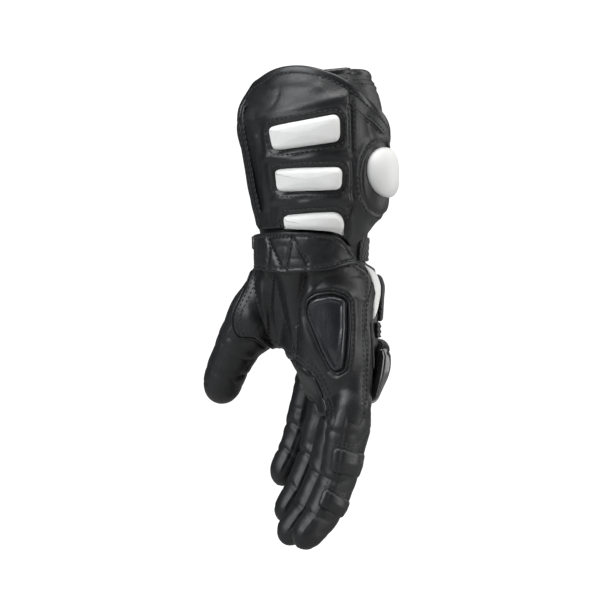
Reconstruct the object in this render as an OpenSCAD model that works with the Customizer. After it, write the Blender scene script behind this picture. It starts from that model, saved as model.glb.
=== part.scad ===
// Right-hand long-cuff leather motorcycle glove, hanging from its cuff with the fingers down.
// Origin: the forearm's centre line in the plane of the cuff's opening. +Z points up the forearm,
// -Y is the palm side, +X is the little-finger side. All sizes are in millimetres.

/* [Leather] */
// Thickness of the outer leather
leather = 1.6; // [1.2:0.1:1.8]
// Thickness of the textile lining
lining = 0.8; // [0.6:0.1:1]
// Wall of a finger stall, leather and bonded lining together
stall_wall = 1.8; // [1.4:0.1:2.2]

/* [Cuff] */
// Width of the bound edges
binding_w = 5.5; // [4:0.5:7]
// Thickness of the white padded bars and the wrist-bone guard's base
bar_h = 3.2; // [2:0.2:4]
// Height of the wrist-bone guard above the cuff panel
guard_dome = 6; // [4:0.5:8]

/* [Strap] */
// Height of the strap's top edge
strap_top_z = -96.4; // [-97.4:0.2:-96.4]
// Height of the strap's bottom edge
strap_bottom_z = -120.4; // [-120.4:0.2:-118]
// Thickness of the strap
strap_h = 2.2; // [1.6:0.2:3]

/* [Hand] */
// Height of the wrist's bending axis
wrist_z = -118; // [-119:0.5:-117]
// Angle the wrist bends towards the palm
wrist_flex = 25; // [10:1:25]
// Angle the wrist bends towards the back of the hand
wrist_back = 20; // [10:1:20]
// Thickness of the palm slider
slider_h = 3.4; // [2:0.2:4]
// Height of the knuckle guard above the leather
knuckle_h = 8.5; // [7:0.5:9]

/* [Fingers] */
// Outer radius of a finger stall at its tip
tip_r = 9.3; // [8.5:0.1:9.6]
// Distance of each finger's bending axes from its centre line, towards the palm
crease = 6; // [4:0.5:7]
// Thickness of the finger armour pads
pad_h = 2.8; // [2:0.2:3.5]

/* [Quality] */
// Columns round a full shell
sides = 36; // [24:4:48]

/* [Hidden] */
$fn = 48;

black = [0.09, 0.09, 0.1];
white = [0.93, 0.93, 0.92];
gloss = [0.04, 0.04, 0.045];
grey = [0.22, 0.22, 0.23];

gap = 0.3;             // faces that lie on each other inside one body
lining_gap = 0.7;      // lining inside the hand's curved leather
flap_rise = 2.4;       // the flap's bottom edge above the strap, so that it swings clear
free = 0.35;           // faces of two bodies that pass each other
patch_h = 0.75;        // top of the loop half of a hook-and-loop closure
patch_clear = 0.55;    // air between a thin patch and the curved leather it is sewn to
flap_in = 1.85;        // the flap's inner face above the cuff
flap_out = 3.8;        // the flap's outer face above the cuff
strap_in = 2.2;        // the strap's inner face above the cuff
cuff_end_z = -114.5;   // bottom edge of the cuff

// Cuff stations: height, centre Y, half width, half depth
cuff = [
    [0, -2, 46, 31], [-10, -1, 50.5, 35], [-22, -2, 54.5, 40], [-33, -2, 54.5, 40], [-46, -0.5, 53, 39],
    [-61, 1, 51.5, 37.5], [-81, 3.5, 48, 36], [-92, 1.5, 42, 31], [-97, 1.5, 39, 30.5], [-106, 1, 37, 30.5],
    [-116, 1, 36.5, 30.5]
];
// Hand stations: height, centre Y, half width, half depth, turn about the forearm
hand = [
    [-116, 1, 36, 30, 0], [-126, 7, 37.5, 30, -3], [-137, 10, 39.5, 29, -5], [-150, 12, 41.5, 27.5, -7],
    [-169, 14, 43.5, 25, -10], [-183, 16, 43, 20.5, -12], [-195, 16, 42.5, 16, -12], [-214, 12, 42, 14, -12]
];
// Upper edge of the flap and the guard panel: angle round the cuff, height
flap_edge = [
    [-101, -14], [-97, -9], [-85, -4], [-70, 0], [-58, 1], [-46, 0.5], [-34, -1.5], [-21, -5], [-7, -11],
    [8, -19], [23, -25], [37, -30], [60, -38], [85, -46], [112, -55]
];
// Lower edge of the guard panel: angle round the cuff, height
guard_edge = [
    [-7, -100], [-3, -102.5], [2, -105.4], [12, -102.5], [25, -97.5], [52, -83], [75, -74],
    [95, -68], [112, -63]
];
// Lower rim of the hand over the finger roots: X, height
finger_rim = [
    [-44, -186.5], [-24, -186.5], [-17, -199], [-2, -199], [4, -208], [20, -208], [26, -211], [44, -211]
];

// Fingers: root, segment lengths, bends from straight down, pads' facing angle and half span, root radius
splay = -4;
index = [[-34, 20, -190], [29, 18, 11], [13, 21, 29], 90, 50, 11];
middle = [[-11.5, 18, -202], [33, 23, 13], [14, 25, 36], 90, 50, 11];
ring = [[11, 13, -211], [33, 25, 15], [16, 28, 42], 90, 50, 11];
little = [[34.4, 6.2, -214], [31, 25, 13], [12, 28, 44], 15, 84, 12];

// Thumb: base, root joint, tip joint and tip centre, and the axis it bends about
thumb_points = [[-28, -3, -128], [-49, -22.5, -161], [-60, -26.3, -178.5], [-67.5, -27, -191]];
thumb_radii = [19.5, 15.2, 13.6, 12];
thumb_axis = [0.25, 0.84, -0.3];

function lerp(a, b, s) = a + (b - a) * s;
function station(table, z, k) = lookup(z, [for (row = table) [row[0], row[k]]]);

// Point on the cuff at an angle t and a height z, off millimetres outside its leather
function cuff_at(t, z, off) = [
    (station(cuff, z, 2) + off) * cos(t),
    station(cuff, z, 1) + (station(cuff, z, 3) + off) * sin(t),
    z
];

// Point on the hand at an angle t and a height z, off millimetres outside its leather
function hand_at(t, z, off) =
    let (x = (station(hand, z, 2) + off) * cos(t),
         y = (station(hand, z, 3) + off) * sin(t),
         turn = station(hand, z, 4))
    [x * cos(turn) - y * sin(turn), station(hand, z, 1) + x * sin(turn) + y * cos(turn), z];

// Upper rim of the hand: a notch that lets the wrist bend either way
hand_top = function(t)
    let (y = hand_at(t, wrist_z - 12, 0)[1] - 2,
         bend = (y < 0 ? wrist_flex : wrist_back) + 6)
    wrist_z - 3 - abs(y) * tan(bend);

// Lower rim of the hand: higher on the palm side, where the fingers fold up to it
hand_bottom = function(t) lookup(hand_at(t, -205, 0)[0], finger_rim) + 2 + 8 * max(0, -sin(t));

// Heights of the flap's bottom and the strap's top edge round the cuff
strap_top = function(t)
    strap_top_z + lookup(t, [[-60, 0], [-32, -1], [-14, -3], [-6.5, -5.3], [1, -10], [9, -16]]);
strap_bottom = function(t)
    strap_bottom_z + lookup(t, [[-101, 2], [-70, 0], [-50, 0], [-17, 1.5], [-3, 3.9], [9, 4.8]]);

// A closed sheet between two offsets of a surface. pos(u, v, off) gives its points for u and v from 0 to 1.
module sheet(pos, columns, rows, inner, outer, closed = false) {
    n = closed ? columns : columns + 1;
    points = [
        for (off = [inner, outer]) for (i = [0 : n - 1]) for (j = [0 : rows]) pos(i / columns, j / rows, off)
    ];
    id = function(layer, i, j) (layer * n + i % n) * (rows + 1) + j;
    quads = concat(
        [for (i = [0 : columns - 1]) for (j = [0 : rows - 1])
            [id(1, i, j), id(1, i, j + 1), id(1, i + 1, j + 1), id(1, i + 1, j)]],
        [for (i = [0 : columns - 1]) for (j = [0 : rows - 1])
            [id(0, i, j), id(0, i + 1, j), id(0, i + 1, j + 1), id(0, i, j + 1)]],
        [for (i = [0 : columns - 1]) [id(1, i, 0), id(1, i + 1, 0), id(0, i + 1, 0), id(0, i, 0)]],
        [for (i = [0 : columns - 1])
            [id(1, i + 1, rows), id(1, i, rows), id(0, i, rows), id(0, i + 1, rows)]],
        closed ? [] : [for (j = [0 : rows - 1]) [id(1, 0, j + 1), id(1, 0, j), id(0, 0, j), id(0, 0, j + 1)]],
        closed ? [] : [for (j = [0 : rows - 1])
            [id(1, columns, j), id(1, columns, j + 1), id(0, columns, j + 1), id(0, columns, j)]]
    );
    polyhedron(points, [for (q = quads) each [[q[0], q[1], q[2]], [q[0], q[2], q[3]]]]);
}

// A rectangular strip laid on a surface along a path of [angle, height], widening to its left
module ribbon(at, path, width, inner, outer) {
    last = len(path) - 1;
    spot = function(i, off) at(path[i][0], path[i][1], off);
    unit = function(v) v / norm(v);
    rings = [for (i = [0 : last])
        let (along = unit(spot(min(i + 1, last), inner) - spot(max(i - 1, 0), inner)),
             up = unit(spot(i, inner + 1) - spot(i, inner)),
             side = unit(cross(up, along)))
        [spot(i, inner), spot(i, inner) + side * width, spot(i, outer) + side * width, spot(i, outer)]];
    quads = [for (i = [0 : last - 1]) for (k = [0 : 3])
        [4 * i + k, 4 * i + (k + 1) % 4, 4 * i + 4 + (k + 1) % 4, 4 * i + 4 + k]];
    polyhedron(
        [for (r = rings) each r],
        concat([for (q = quads) each [[q[0], q[1], q[2]], [q[0], q[2], q[3]]]],
               [[3, 2, 1], [3, 1, 0]],
               [[4 * last, 4 * last + 1, 4 * last + 2], [4 * last, 4 * last + 2, 4 * last + 3]])
    );
}

// A low dome on a surface: pos(x, y, off) takes x and y from -1 to 1
module dome(pos, base, height, rings = 5, sectors = 28) {
    shell = [for (r = [1 : rings]) for (k = [0 : sectors - 1])
        let (rho = sin(90 * r / rings), a = 360 * k / sectors)
        pos(rho * cos(a), rho * sin(a), base + 0.8 + height * sqrt(max(0, 1 - rho * rho)))];
    foot = [for (r = [rings : -1 : 1]) for (k = [0 : sectors - 1])
        pos(r / rings * cos(360 * k / sectors), r / rings * sin(360 * k / sectors), base)];
    top = len(shell) + len(foot);
    points = concat(shell, foot, [pos(0, 0, base + 0.8 + height), pos(0, 0, base)]);
    id = function(r, k) (r - 1) * sectors + k % sectors;
    polyhedron(points, concat(
        [for (k = [0 : sectors - 1]) [top, id(1, k + 1), id(1, k)]],
        [for (r = [1 : 2 * rings - 1]) for (k = [0 : sectors - 1]) each
            [[id(r, k), id(r, k + 1), id(r + 1, k + 1)], [id(r, k), id(r + 1, k + 1), id(r + 1, k)]]],
        [for (k = [0 : sectors - 1]) [top + 1, id(2 * rings, k), id(2 * rings, k + 1)]]
    ));
}

// ---- Cuff ----

module cuff_tube(top, bottom, inner, outer) {
    sheet(function(u, v, off) cuff_at(360 * u, lerp(bottom, top, v), off),
          sides, 10, inner, outer, closed = true);
}

module cuff_shell() {
    color(black) cuff_tube(0, cuff_end_z, -leather, 0);
}

module cuff_lining() {
    color(grey) cuff_tube(-0.5, cuff_end_z + 1, -leather - gap - lining, -leather - gap);
}

module cuff_binding() {
    color(black)
        sheet(function(u, v, off) cuff_at(360 * u, lerp(gap, 2.6, v), off),
              sides, 1, -leather - 1, 0.8, closed = true);
}

// A patch on the cuff between two angles and two edges that are functions of the angle
module cuff_patch(t0, t1, bottom, top, inner, outer, columns = 16, rows = 6) {
    sheet(function(u, v, off) let (t = lerp(t0, t1, u)) cuff_at(t, lerp(bottom(t), top(t), v), off),
          columns, rows, inner, outer);
}

module cuff_guard_panel() {
    color(black)
        cuff_patch(-6.6, 112, function(t) lookup(t, guard_edge), function(t) lookup(t, flap_edge) - binding_w,
                   flap_in, flap_out, 20, 6);
}

module guard_binding() {
    path = [for (t = [-6.6 : 8.47 : 112]) [t, lookup(t, flap_edge) - binding_w + gap]];
    color(black) ribbon(function(t, z, off) cuff_at(t, z, off), path, binding_w, flap_in, flap_out + 0.8);
}

module ulna_guard() {
    color(white)
        dome(function(x, y, off) cuff_at(33 + 27.5 * x, -63.5 + 14.5 * y, off),
             flap_out + gap, guard_dome - 0.8);
}

module cuff_loop_patch() {
    color(grey) cuff_patch(-94, -68, function(t) -72, function(t) -24, 0.4, patch_h, 5, 4);
}

module strap_loop_patch() {
    color(grey) cuff_patch(-122, -85, function(t) -113, function(t) -99, 0.4, patch_h, 6, 2);
}

module wrist_elastic() {
    color(grey) cuff_patch(20, 160, function(t) -113.5, function(t) -99, patch_clear, 1.8, 18, 4);
}

// Soft sleeve between the cuff and the hand, which folds when the wrist bends
module wrist_gusset() {
    color(black)
        sheet(function(u, v, off)
                  let (t = 360 * u) hand_at(t, lerp(hand_top(t) + 3 * gap, cuff_end_z - gap, v), off),
              sides, 3, -leather + 0.2, -gap, closed = true);
}

// ---- Flap, which opens about an upright line beside the bars ----

module flap_panel() {
    color(black)
        cuff_patch(-95, -9,
                   function(t) strap_top(t) + flap_rise, function(t) lookup(t, flap_edge) - binding_w,
                   flap_in, flap_out, 20, 7);
}

module flap_binding() {
    rise = [for (z = [-93.5 : 9.5 : -27]) [-95.4, z]];
    across = [for (t = [-95.4 : 8.6 : -9]) [t, lookup(t, flap_edge) - binding_w + gap]];
    color(black)
        ribbon(function(t, z, off) cuff_at(t, z, off), concat(rise, across),
               binding_w, flap_in, flap_out + 0.8);
}

// A white bar between two angles, with straight edges through two heights each
module flap_bar(t0, t1, bottom, top) {
    color(white)
        cuff_patch(t0, t1,
                   function(t) lerp(bottom[0], bottom[1], (t - t0) / (t1 - t0)),
                   function(t) lerp(top[0], top[1], (t - t0) / (t1 - t0)),
                   flap_out + gap, flap_out + bar_h, 8, 2);
}

module flap_bar_upper() { flap_bar(-62.5, -18.5, [-49.2, -43.2], [-35.6, -29.4]); }
module flap_bar_middle() { flap_bar(-63.5, -19, [-73.2, -72.5], [-59.5, -59.5]); }
module flap_bar_lower() { flap_bar(-60.5, -16, [-95, -96], [-85.8, -85.6]); }

module flap_hook_patch() {
    color(grey) cuff_patch(-92, -70, function(t) -70, function(t) -26, patch_h + 0.2, flap_in - patch_clear - 0.1, 5, 4);
}

// ---- Wrist strap ----

module wrist_strap() {
    color(black) cuff_patch(-124, 9, strap_bottom, strap_top, strap_in, strap_in + strap_h, 22, 3);
}

module strap_hook_patch() {
    color(grey)
        cuff_patch(-120, -87, function(t) -115, function(t) -98, patch_h + free, strap_in - patch_clear, 6, 2);
}

module strap_pull_tab() {
    color(gloss)
        cuff_patch(-134, -124.5, function(t) -105, function(t) -97.5, strap_in, strap_in + strap_h, 2, 1);
}

// ---- Hand ----

// A patch on the hand between two angles
module hand_patch(t0, t1, bottom, top, inner, outer, columns = 16, rows = 7) {
    sheet(function(u, v, off) let (t = lerp(t0, t1, u)) hand_at(t, lerp(bottom(t), top(t), v), off),
          columns, rows, inner, outer);
}

// Cone between two points
module cone(a, b, ra, rb) {
    v = b - a;
    translate(a)
        rotate([0, acos(v[2] / norm(v)), atan2(v[1], v[0])])
            cylinder(h = norm(v), r1 = ra, r2 = rb);
}

module thumb_mound(extra) {
    cone(thumb_points[0], thumb_points[1], thumb_radii[0] + extra, thumb_radii[1] + extra);
}

module palm_panel() {
    color(black) difference() {
        hand_patch(-165, -75, hand_bottom, hand_top, -leather, 0, 12);
        thumb_mound(gap);
    }
}

module side_panel() {
    color(black) hand_patch(-74.8, 29.8, hand_bottom, hand_top, -leather, 0, 15);
}

module back_panel() {
    color(black) difference() {
        hand_patch(30, 194.8, hand_bottom, hand_top, -leather, 0, 24);
        thumb_mound(gap);
    }
}

module hand_lining() {
    color(grey) difference() {
        sheet(function(u, v, off)
                  let (t = 360 * u) hand_at(t, lerp(hand_bottom(t) + 3, hand_top(t) - 2, v), off),
              sides, 6, -leather - lining_gap - lining, -leather - lining_gap, closed = true);
        thumb_mound(gap);
    }
}

// Solid of the whole hand, for trimming the thumb's base
module hand_solid() {
    rows = 9;
    rings = [for (j = [0 : rows])
        [for (i = [0 : sides - 1]) hand_at(360 * i / sides, lerp(-214, -117, j / rows), gap)]];
    id = function(j, i) j * sides + i % sides;
    polyhedron([for (r = rings) each r], concat(
        [for (j = [0 : rows - 1]) for (i = [0 : sides - 1]) each
            [[id(j, i), id(j + 1, i), id(j + 1, i + 1)], [id(j, i), id(j + 1, i + 1), id(j, i + 1)]]],
        [[for (i = [0 : sides - 1]) id(0, i)]],
        [[for (i = [sides - 1 : -1 : 0]) id(rows, i)]]
    ));
}

// Space above the hand that the bending wrist needs
module wrist_room() {
    translate([-80, 1, wrist_z - 3]) rotate([90, 0, 90]) linear_extrude(120)
        polygon([
            [0, 0], [60, -60 * tan(wrist_back + 6)], [60, 60], [-60, 60], [-60, -60 * tan(wrist_flex + 6)]
        ]);
}

module thumb_base() {
    color(black) difference() {
        thumb_mound(0);
        difference() {
            thumb_mound(-stall_wall);
            translate([0, 0, -2 * stall_wall]) wrist_room();
        }
        hand_solid();
        wrist_room();
        thumb_frame(1) mirror([0, 0, 1]) end_cut(10, 20);
    }
}

// Left and right edges of the slider, which narrows towards the fingers
function slider_left(z) = lookup(z, [
    [-179, -29], [-176, -34], [-166, -41], [-154, -47.5], [-146, -51.5], [-141, -51], [-137, -48],
    [-134, -40]]);
function slider_right(z) = lookup(z, [
    [-179, -24], [-177, -19], [-170, -15.5], [-154, -12], [-139, -11], [-136, -14], [-134, -24]]);

module slider_sheet(inner, outer) {
    sheet(function(u, v, off)
              let (z = lerp(-179, -134, v)) hand_at(lerp(slider_left(z), slider_right(z), u), z, off),
          8, 15, inner, outer);
}

module slider_foam() { color(grey) slider_sheet(gap, 1); }
module palm_slider() { color(gloss) slider_sheet(1 + gap, slider_h); }

guard_foot = function(t) max(hand_bottom(t) + 2, -197);

module knuckle_foam() {
    color(grey) hand_patch(36, 144, guard_foot, function(t) -161, 2 * gap, knuckle_h - 3.5, 16, 4);
}
module knuckle_guard() {
    color(gloss) hand_patch(34, 146, guard_foot, function(t) -160, knuckle_h - 3.15, knuckle_h, 16, 4);
}

// Padded perforated panel on the back of the hand
module back_pad() {
    color(grey) hand_patch(60, 120, function(t) -150, function(t) min(hand_top(t) - 1, -134), gap, 4, 12, 3);
}

// Ribbed stretch leather between the back pad and the knuckle guard
module accordion_panel() {
    color(black) hand_patch(36, 144, function(t) -158.8, function(t) -150.5, gap, 1.6, 16, 2);
}

module stripe(t0, t1) {
    color(white) hand_patch(t0, t1, function(t) -150, function(t) min(hand_top(t) - 1, -128), gap, 2, 4, 3);
}
module stripe_outer() { stripe(38, 59.5); }
module stripe_inner() { stripe(120.5, 142); }

// ---- Fingers ----

// Places children in the frame of a finger's segment: Z back towards the root, -Y the palm side
module segment(finger, k) {
    points = finger_points(finger);
    translate(points[k]) rotate([0, -splay, 0]) rotate([-finger[2][k], 0, 0]) children();
}

// Joint points of a finger, from its root to the centre of its tip
function finger_points(finger) =
    let (step = function(k) finger[1][k] * [
             cos(finger[2][k]) * sin(splay), -sin(finger[2][k]), -cos(finger[2][k]) * cos(splay)])
    [finger[0], finger[0] + step(0), finger[0] + step(0) + step(1), finger[0] + step(0) + step(1) + step(2)];

function stall_radius(finger, k) = lerp(finger[5], tip_r, k / 3);

// Half-space wedge above a stall's end, hinged on the crease line: up on the back, cut down on the palm side
module end_cut(back, palm) {
    reach = 40;
    translate([-reach, -crease, 0]) rotate([90, 0, 90]) linear_extrude(2 * reach)
        polygon([
            [0, 0], [reach, -reach * tan(back)], [reach, reach], [-reach, reach], [-reach, -reach * tan(palm)]
        ]);
}

// Tube of one segment, from its joint down, with room at both ends for the joints to bend
module stall(finger, k, back_gap, palm_gap) {
    length = finger[1][k];
    r1 = stall_radius(finger, k);
    r2 = stall_radius(finger, k + 1);
    bend = k < 2 ? finger[2][k + 1] - finger[2][k] : 0;
    over = k < 2 ? 8 : 0;
    segment(finger, k) difference() {
        union() {
            translate([0, 0, -length - over]) cylinder(h = length + over + 6, r1 = r2, r2 = r1);
            if (k == 2) translate([0, 0, -length]) sphere(r = r2);
        }
        translate([0, 0, -length - over])
            cylinder(h = length + over + 7, r1 = r2 - stall_wall, r2 = r1 - stall_wall);
        if (k == 2) translate([0, 0, -length]) sphere(r = r2 - stall_wall);
        end_cut(back_gap, palm_gap);
        if (k < 2)
            translate([0, 0, -length]) rotate([-bend, 0, 0]) mirror([0, 0, 1]) end_cut(6, 32);
    }
}

module proximal(finger) { color(black) stall(finger, 0, 1, 45); }
module intermediate(finger) { color(black) stall(finger, 1, 6, 32); }
module distal(finger) { color(black) stall(finger, 2, 6, 32); }

// Armour pad on the back of a segment, just above its far joint
module finger_pad(finger, k, from, length) {
    r = stall_radius(finger, k) + gap + 0.1;
    facing = finger[3];
    half = finger[4];
    color(black) segment(finger, k) translate([0, 0, -from - length])
        rotate([0, 0, facing - half]) rotate_extrude(angle = 2 * half)
            translate([r, 0]) square([pad_h, length]);
}

module knuckle_pad(finger) { finger_pad(finger, 0, finger[1][0] - 15.5, 11); }
module joint_pad(finger) { finger_pad(finger, 1, finger[1][1] - 12.5, 9); }

// ---- Thumb ----

// Frame of a thumb segment: Z back towards the hand, X along the bending axis
module thumb_frame(k) {
    back = -(thumb_points[k + 1] - thumb_points[k]);
    z = back / norm(back);
    x0 = thumb_axis - z * (thumb_axis * z);
    x = x0 / norm(x0);
    y = cross(z, x);
    multmatrix([[x[0], y[0], z[0], thumb_points[k][0]],
                [x[1], y[1], z[1], thumb_points[k][1]],
                [x[2], y[2], z[2], thumb_points[k][2]],
                [0, 0, 0, 1]]) children();
}

module thumb_stall(k, back_gap, palm_gap) {
    length = norm(thumb_points[k + 1] - thumb_points[k]);
    r1 = thumb_radii[k];
    r2 = thumb_radii[k + 1];
    difference() {
        thumb_frame(k) difference() {
            union() {
                translate([0, 0, -length]) cylinder(h = length + 6, r1 = r2, r2 = r1);
                if (k == 2) translate([0, 0, -length]) sphere(r = r2);
            }
            translate([0, 0, -length - 1])
                cylinder(h = length + 8, r1 = r2 - stall_wall, r2 = r1 - stall_wall);
            if (k == 2) translate([0, 0, -length]) sphere(r = r2 - stall_wall);
            end_cut(back_gap, palm_gap);
        }
        if (k == 1) thumb_frame(2) mirror([0, 0, 1]) end_cut(8, 24);
    }
}

module thumb_proximal() { color(black) thumb_stall(1, 14, 40); }
module thumb_distal() { color(black) thumb_stall(2, 8, 28); }
module thumb_pad() {
    color(black) thumb_frame(1) translate([0, 0, -15.5]) rotate([0, 0, 40]) rotate_extrude(angle = 100)
        translate([thumb_radii[1] + 0.2, 0]) square([pad_h, 9]);
}

cuff_shell();
cuff_lining();
cuff_binding();
cuff_guard_panel();
guard_binding();
ulna_guard();
cuff_loop_patch();
strap_loop_patch();
wrist_elastic();
wrist_gusset();
flap_panel();
flap_binding();
flap_bar_upper();
flap_bar_middle();
flap_bar_lower();
flap_hook_patch();
wrist_strap();
strap_hook_patch();
strap_pull_tab();
palm_panel();
side_panel();
back_panel();
hand_lining();
thumb_base();
palm_slider();
slider_foam();
knuckle_guard();
knuckle_foam();
back_pad();
accordion_panel();
stripe_outer();
stripe_inner();
thumb_proximal();
thumb_distal();
thumb_pad();
proximal(index);  // index_proximal
intermediate(index);  // index_middle
distal(index);  // index_distal
knuckle_pad(index);  // index_knuckle_pad
joint_pad(index);  // index_joint_pad
proximal(middle);  // middle_proximal
intermediate(middle);  // middle_middle
distal(middle);  // middle_distal
knuckle_pad(middle);  // middle_knuckle_pad
joint_pad(middle);  // middle_joint_pad
proximal(ring);  // ring_proximal
intermediate(ring);  // ring_middle
distal(ring);  // ring_distal
knuckle_pad(ring);  // ring_knuckle_pad
joint_pad(ring);  // ring_joint_pad
proximal(little);  // little_proximal
intermediate(little);  // little_middle
distal(little);  // little_distal
knuckle_pad(little);  // little_knuckle_pad
joint_pad(little);  // little_joint_pad
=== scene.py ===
"""Right-hand long-cuff motorcycle glove in black leather with off-white bars, built around the CAD frame.

Lengths are millimetres until a mesh is made. t is an angle round the forearm, in degrees from +X towards +Y.
(u, v) are millimetres in the upright side plane that the camera faces: u to the right, v up.
"""
import math

import bmesh
import bpy
import numpy as np
import openvdb
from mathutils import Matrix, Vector
from mathutils.bvhtree import BVHTree


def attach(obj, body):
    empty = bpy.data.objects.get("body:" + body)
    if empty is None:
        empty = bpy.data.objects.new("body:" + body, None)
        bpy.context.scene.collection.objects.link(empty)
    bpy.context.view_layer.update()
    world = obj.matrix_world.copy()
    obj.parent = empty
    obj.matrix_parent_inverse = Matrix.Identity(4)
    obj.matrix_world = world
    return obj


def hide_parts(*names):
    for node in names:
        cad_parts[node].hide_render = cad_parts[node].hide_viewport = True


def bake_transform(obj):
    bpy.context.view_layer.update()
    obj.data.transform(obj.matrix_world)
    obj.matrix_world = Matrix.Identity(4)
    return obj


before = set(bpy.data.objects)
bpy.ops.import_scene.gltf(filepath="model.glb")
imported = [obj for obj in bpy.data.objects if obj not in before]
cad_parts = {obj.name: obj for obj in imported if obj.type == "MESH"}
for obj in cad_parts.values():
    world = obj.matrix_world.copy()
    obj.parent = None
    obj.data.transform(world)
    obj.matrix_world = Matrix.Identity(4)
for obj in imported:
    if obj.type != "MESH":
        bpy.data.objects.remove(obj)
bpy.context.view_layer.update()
MM = 0.001

# ---------------------------------------------------------------- view and side plane

AZIMUTH = math.radians(60)
RIGHT = np.array([math.cos(AZIMUTH), math.sin(AZIMUTH), 0.0])
TOWARDS = np.array([math.sin(AZIMUTH), -math.cos(AZIMUTH), 0.0])
EYE_DISTANCE = 1100.0
EYE_U, EYE_V = -3.66, -140.3
FIELD = 373.3
EYE = RIGHT * EYE_U + TOWARDS * EYE_DISTANCE + np.array([0, 0, EYE_V])


def to_uv(points):
    """Where points are seen in the side plane."""
    scale = EYE_DISTANCE / (EYE_DISTANCE - points @ TOWARDS)
    u = EYE_U + (points @ RIGHT - EYE_U) * scale
    return np.stack([u, EYE_V + (points[..., 2] - EYE_V) * scale], -1)


def unit(v):
    return v / np.maximum(np.linalg.norm(v, axis=-1, keepdims=True), 1e-9)


# ---------------------------------------------------------------- numbers and curves


def step(x):
    x = np.clip(x, 0, 1)
    return x * x * (3 - 2 * x)


def smooth_table(rows):
    """Smooth curve through rows of (x, values...), as a function of x."""
    rows = np.array(sorted(rows), float)
    xs, ys = rows[:, 0], rows[:, 1:]
    slopes = np.gradient(ys, xs, axis=0)

    def at(x):
        x = np.clip(np.asarray(x, float), xs[0], xs[-1])
        i = np.clip(np.searchsorted(xs, x) - 1, 0, len(xs) - 2)
        h = (xs[i + 1] - xs[i])[..., None]
        s = ((x - xs[i])[..., None]) / h
        return (
            ys[i] * (1 + 2 * s) * (1 - s) ** 2
            + slopes[i] * h * s * (1 - s) ** 2
            + ys[i + 1] * s * s * (3 - 2 * s)
            - slopes[i + 1] * h * s * s * (1 - s)
        )

    return at


def swell(x, width):
    """Bell curve, 1 where x is 0 and nearly gone two widths away."""
    return np.exp(-(x / width) ** 2)


def circle(count):
    """Angles evenly round a circle."""
    return np.linspace(0, 2 * math.pi, count, endpoint=False)


def squared_off(x, power):
    """x with its size raised to a power and its sign kept. Below 1 it squares a circle off."""
    return np.sign(x) * np.abs(x) ** power


def arc_length(points):
    """Distance along a polyline at each of its points."""
    return np.concatenate([[0], np.cumsum(np.linalg.norm(np.diff(points, axis=0), axis=1))])


def resample(points, spacing, closed=False):
    """Points spaced evenly along a polyline."""
    p = np.asarray(points, float)
    if closed:
        p = np.vstack([p, p[:1]])
    s = arc_length(p)
    count = max(int(round(s[-1] / spacing)), 2)
    at = np.linspace(0, s[-1], count + 1)[: count if closed else count + 1]
    return np.stack([np.interp(at, s, p[:, k]) for k in range(p.shape[1])], -1)


def rounded(points, spacing, passes, closed=True):
    """A polyline resampled and softened at its corners."""
    p = resample(points, spacing, closed)
    for _ in range(passes):
        if closed:
            p = 0.5 * p + 0.25 * (np.roll(p, 1, 0) + np.roll(p, -1, 0))
        else:
            p[1:-1] = 0.5 * p[1:-1] + 0.25 * (p[:-2] + p[2:])
    return p


def line_distance(uv, line, closed=False):
    """Distance of every point to a polyline."""
    line = np.asarray(line, float)
    if closed:
        line = np.vstack([line, line[:1]])
    flat = uv.reshape(-1, 2)
    best = np.full(len(flat), 1e9)
    for a, b in zip(line[:-1], line[1:]):
        d = b - a
        s = np.clip(((flat - a) @ d) / max(d @ d, 1e-9), 0, 1)
        best = np.minimum(best, np.linalg.norm(flat - a - s[:, None] * d, axis=1))
    return best.reshape(uv.shape[:-1])


def inside(uv, outline):
    """True for points inside a closed outline."""
    flat = uv.reshape(-1, 2)
    hit = np.zeros(len(flat), bool)
    line = np.asarray(outline, float)
    for a, b in zip(line, np.roll(line, -1, 0)):
        crosses = (a[1] > flat[:, 1]) != (b[1] > flat[:, 1])
        rise = b[1] - a[1] if abs(b[1] - a[1]) > 1e-9 else 1e-9
        hit ^= crosses & (flat[:, 0] < (b[0] - a[0]) * (flat[:, 1] - a[1]) / rise + a[0])
    return hit.reshape(uv.shape[:-1])


def depth_inside(uv, outline):
    """Distance inside a closed outline, negative outside."""
    d = line_distance(uv, outline, closed=True)
    return np.where(inside(uv, outline), d, -d)


def noise(points, size, seed):
    """Smooth value noise from -1 to 1 with cells of about this size."""
    table = np.random.default_rng(seed).random((32, 32, 32)) * 2 - 1
    p = np.asarray(points, float) / size
    cell = np.floor(p).astype(int)
    f = p - cell
    f = f * f * (3 - 2 * f)
    total = 0
    for corner in np.ndindex(2, 2, 2):
        c = np.array(corner)
        w = np.prod(np.where(c == 1, f, 1 - f), axis=-1)
        i = (cell + c) % 32
        total = total + w * table[i[..., 0], i[..., 1], i[..., 2]]
    return total


def wrinkles(points, size, seed):
    """Creased noise: sharp valleys between soft swells, from -1 to 0."""
    warped = points + 0.35 * size * np.stack([noise(points, size, seed + k) for k in (1, 2, 3)], -1)
    return -(1 - np.minimum(np.abs(noise(warped, size, seed)) * 3.0, 1)) ** 2


# ---------------------------------------------------------------- the two body surfaces

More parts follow.
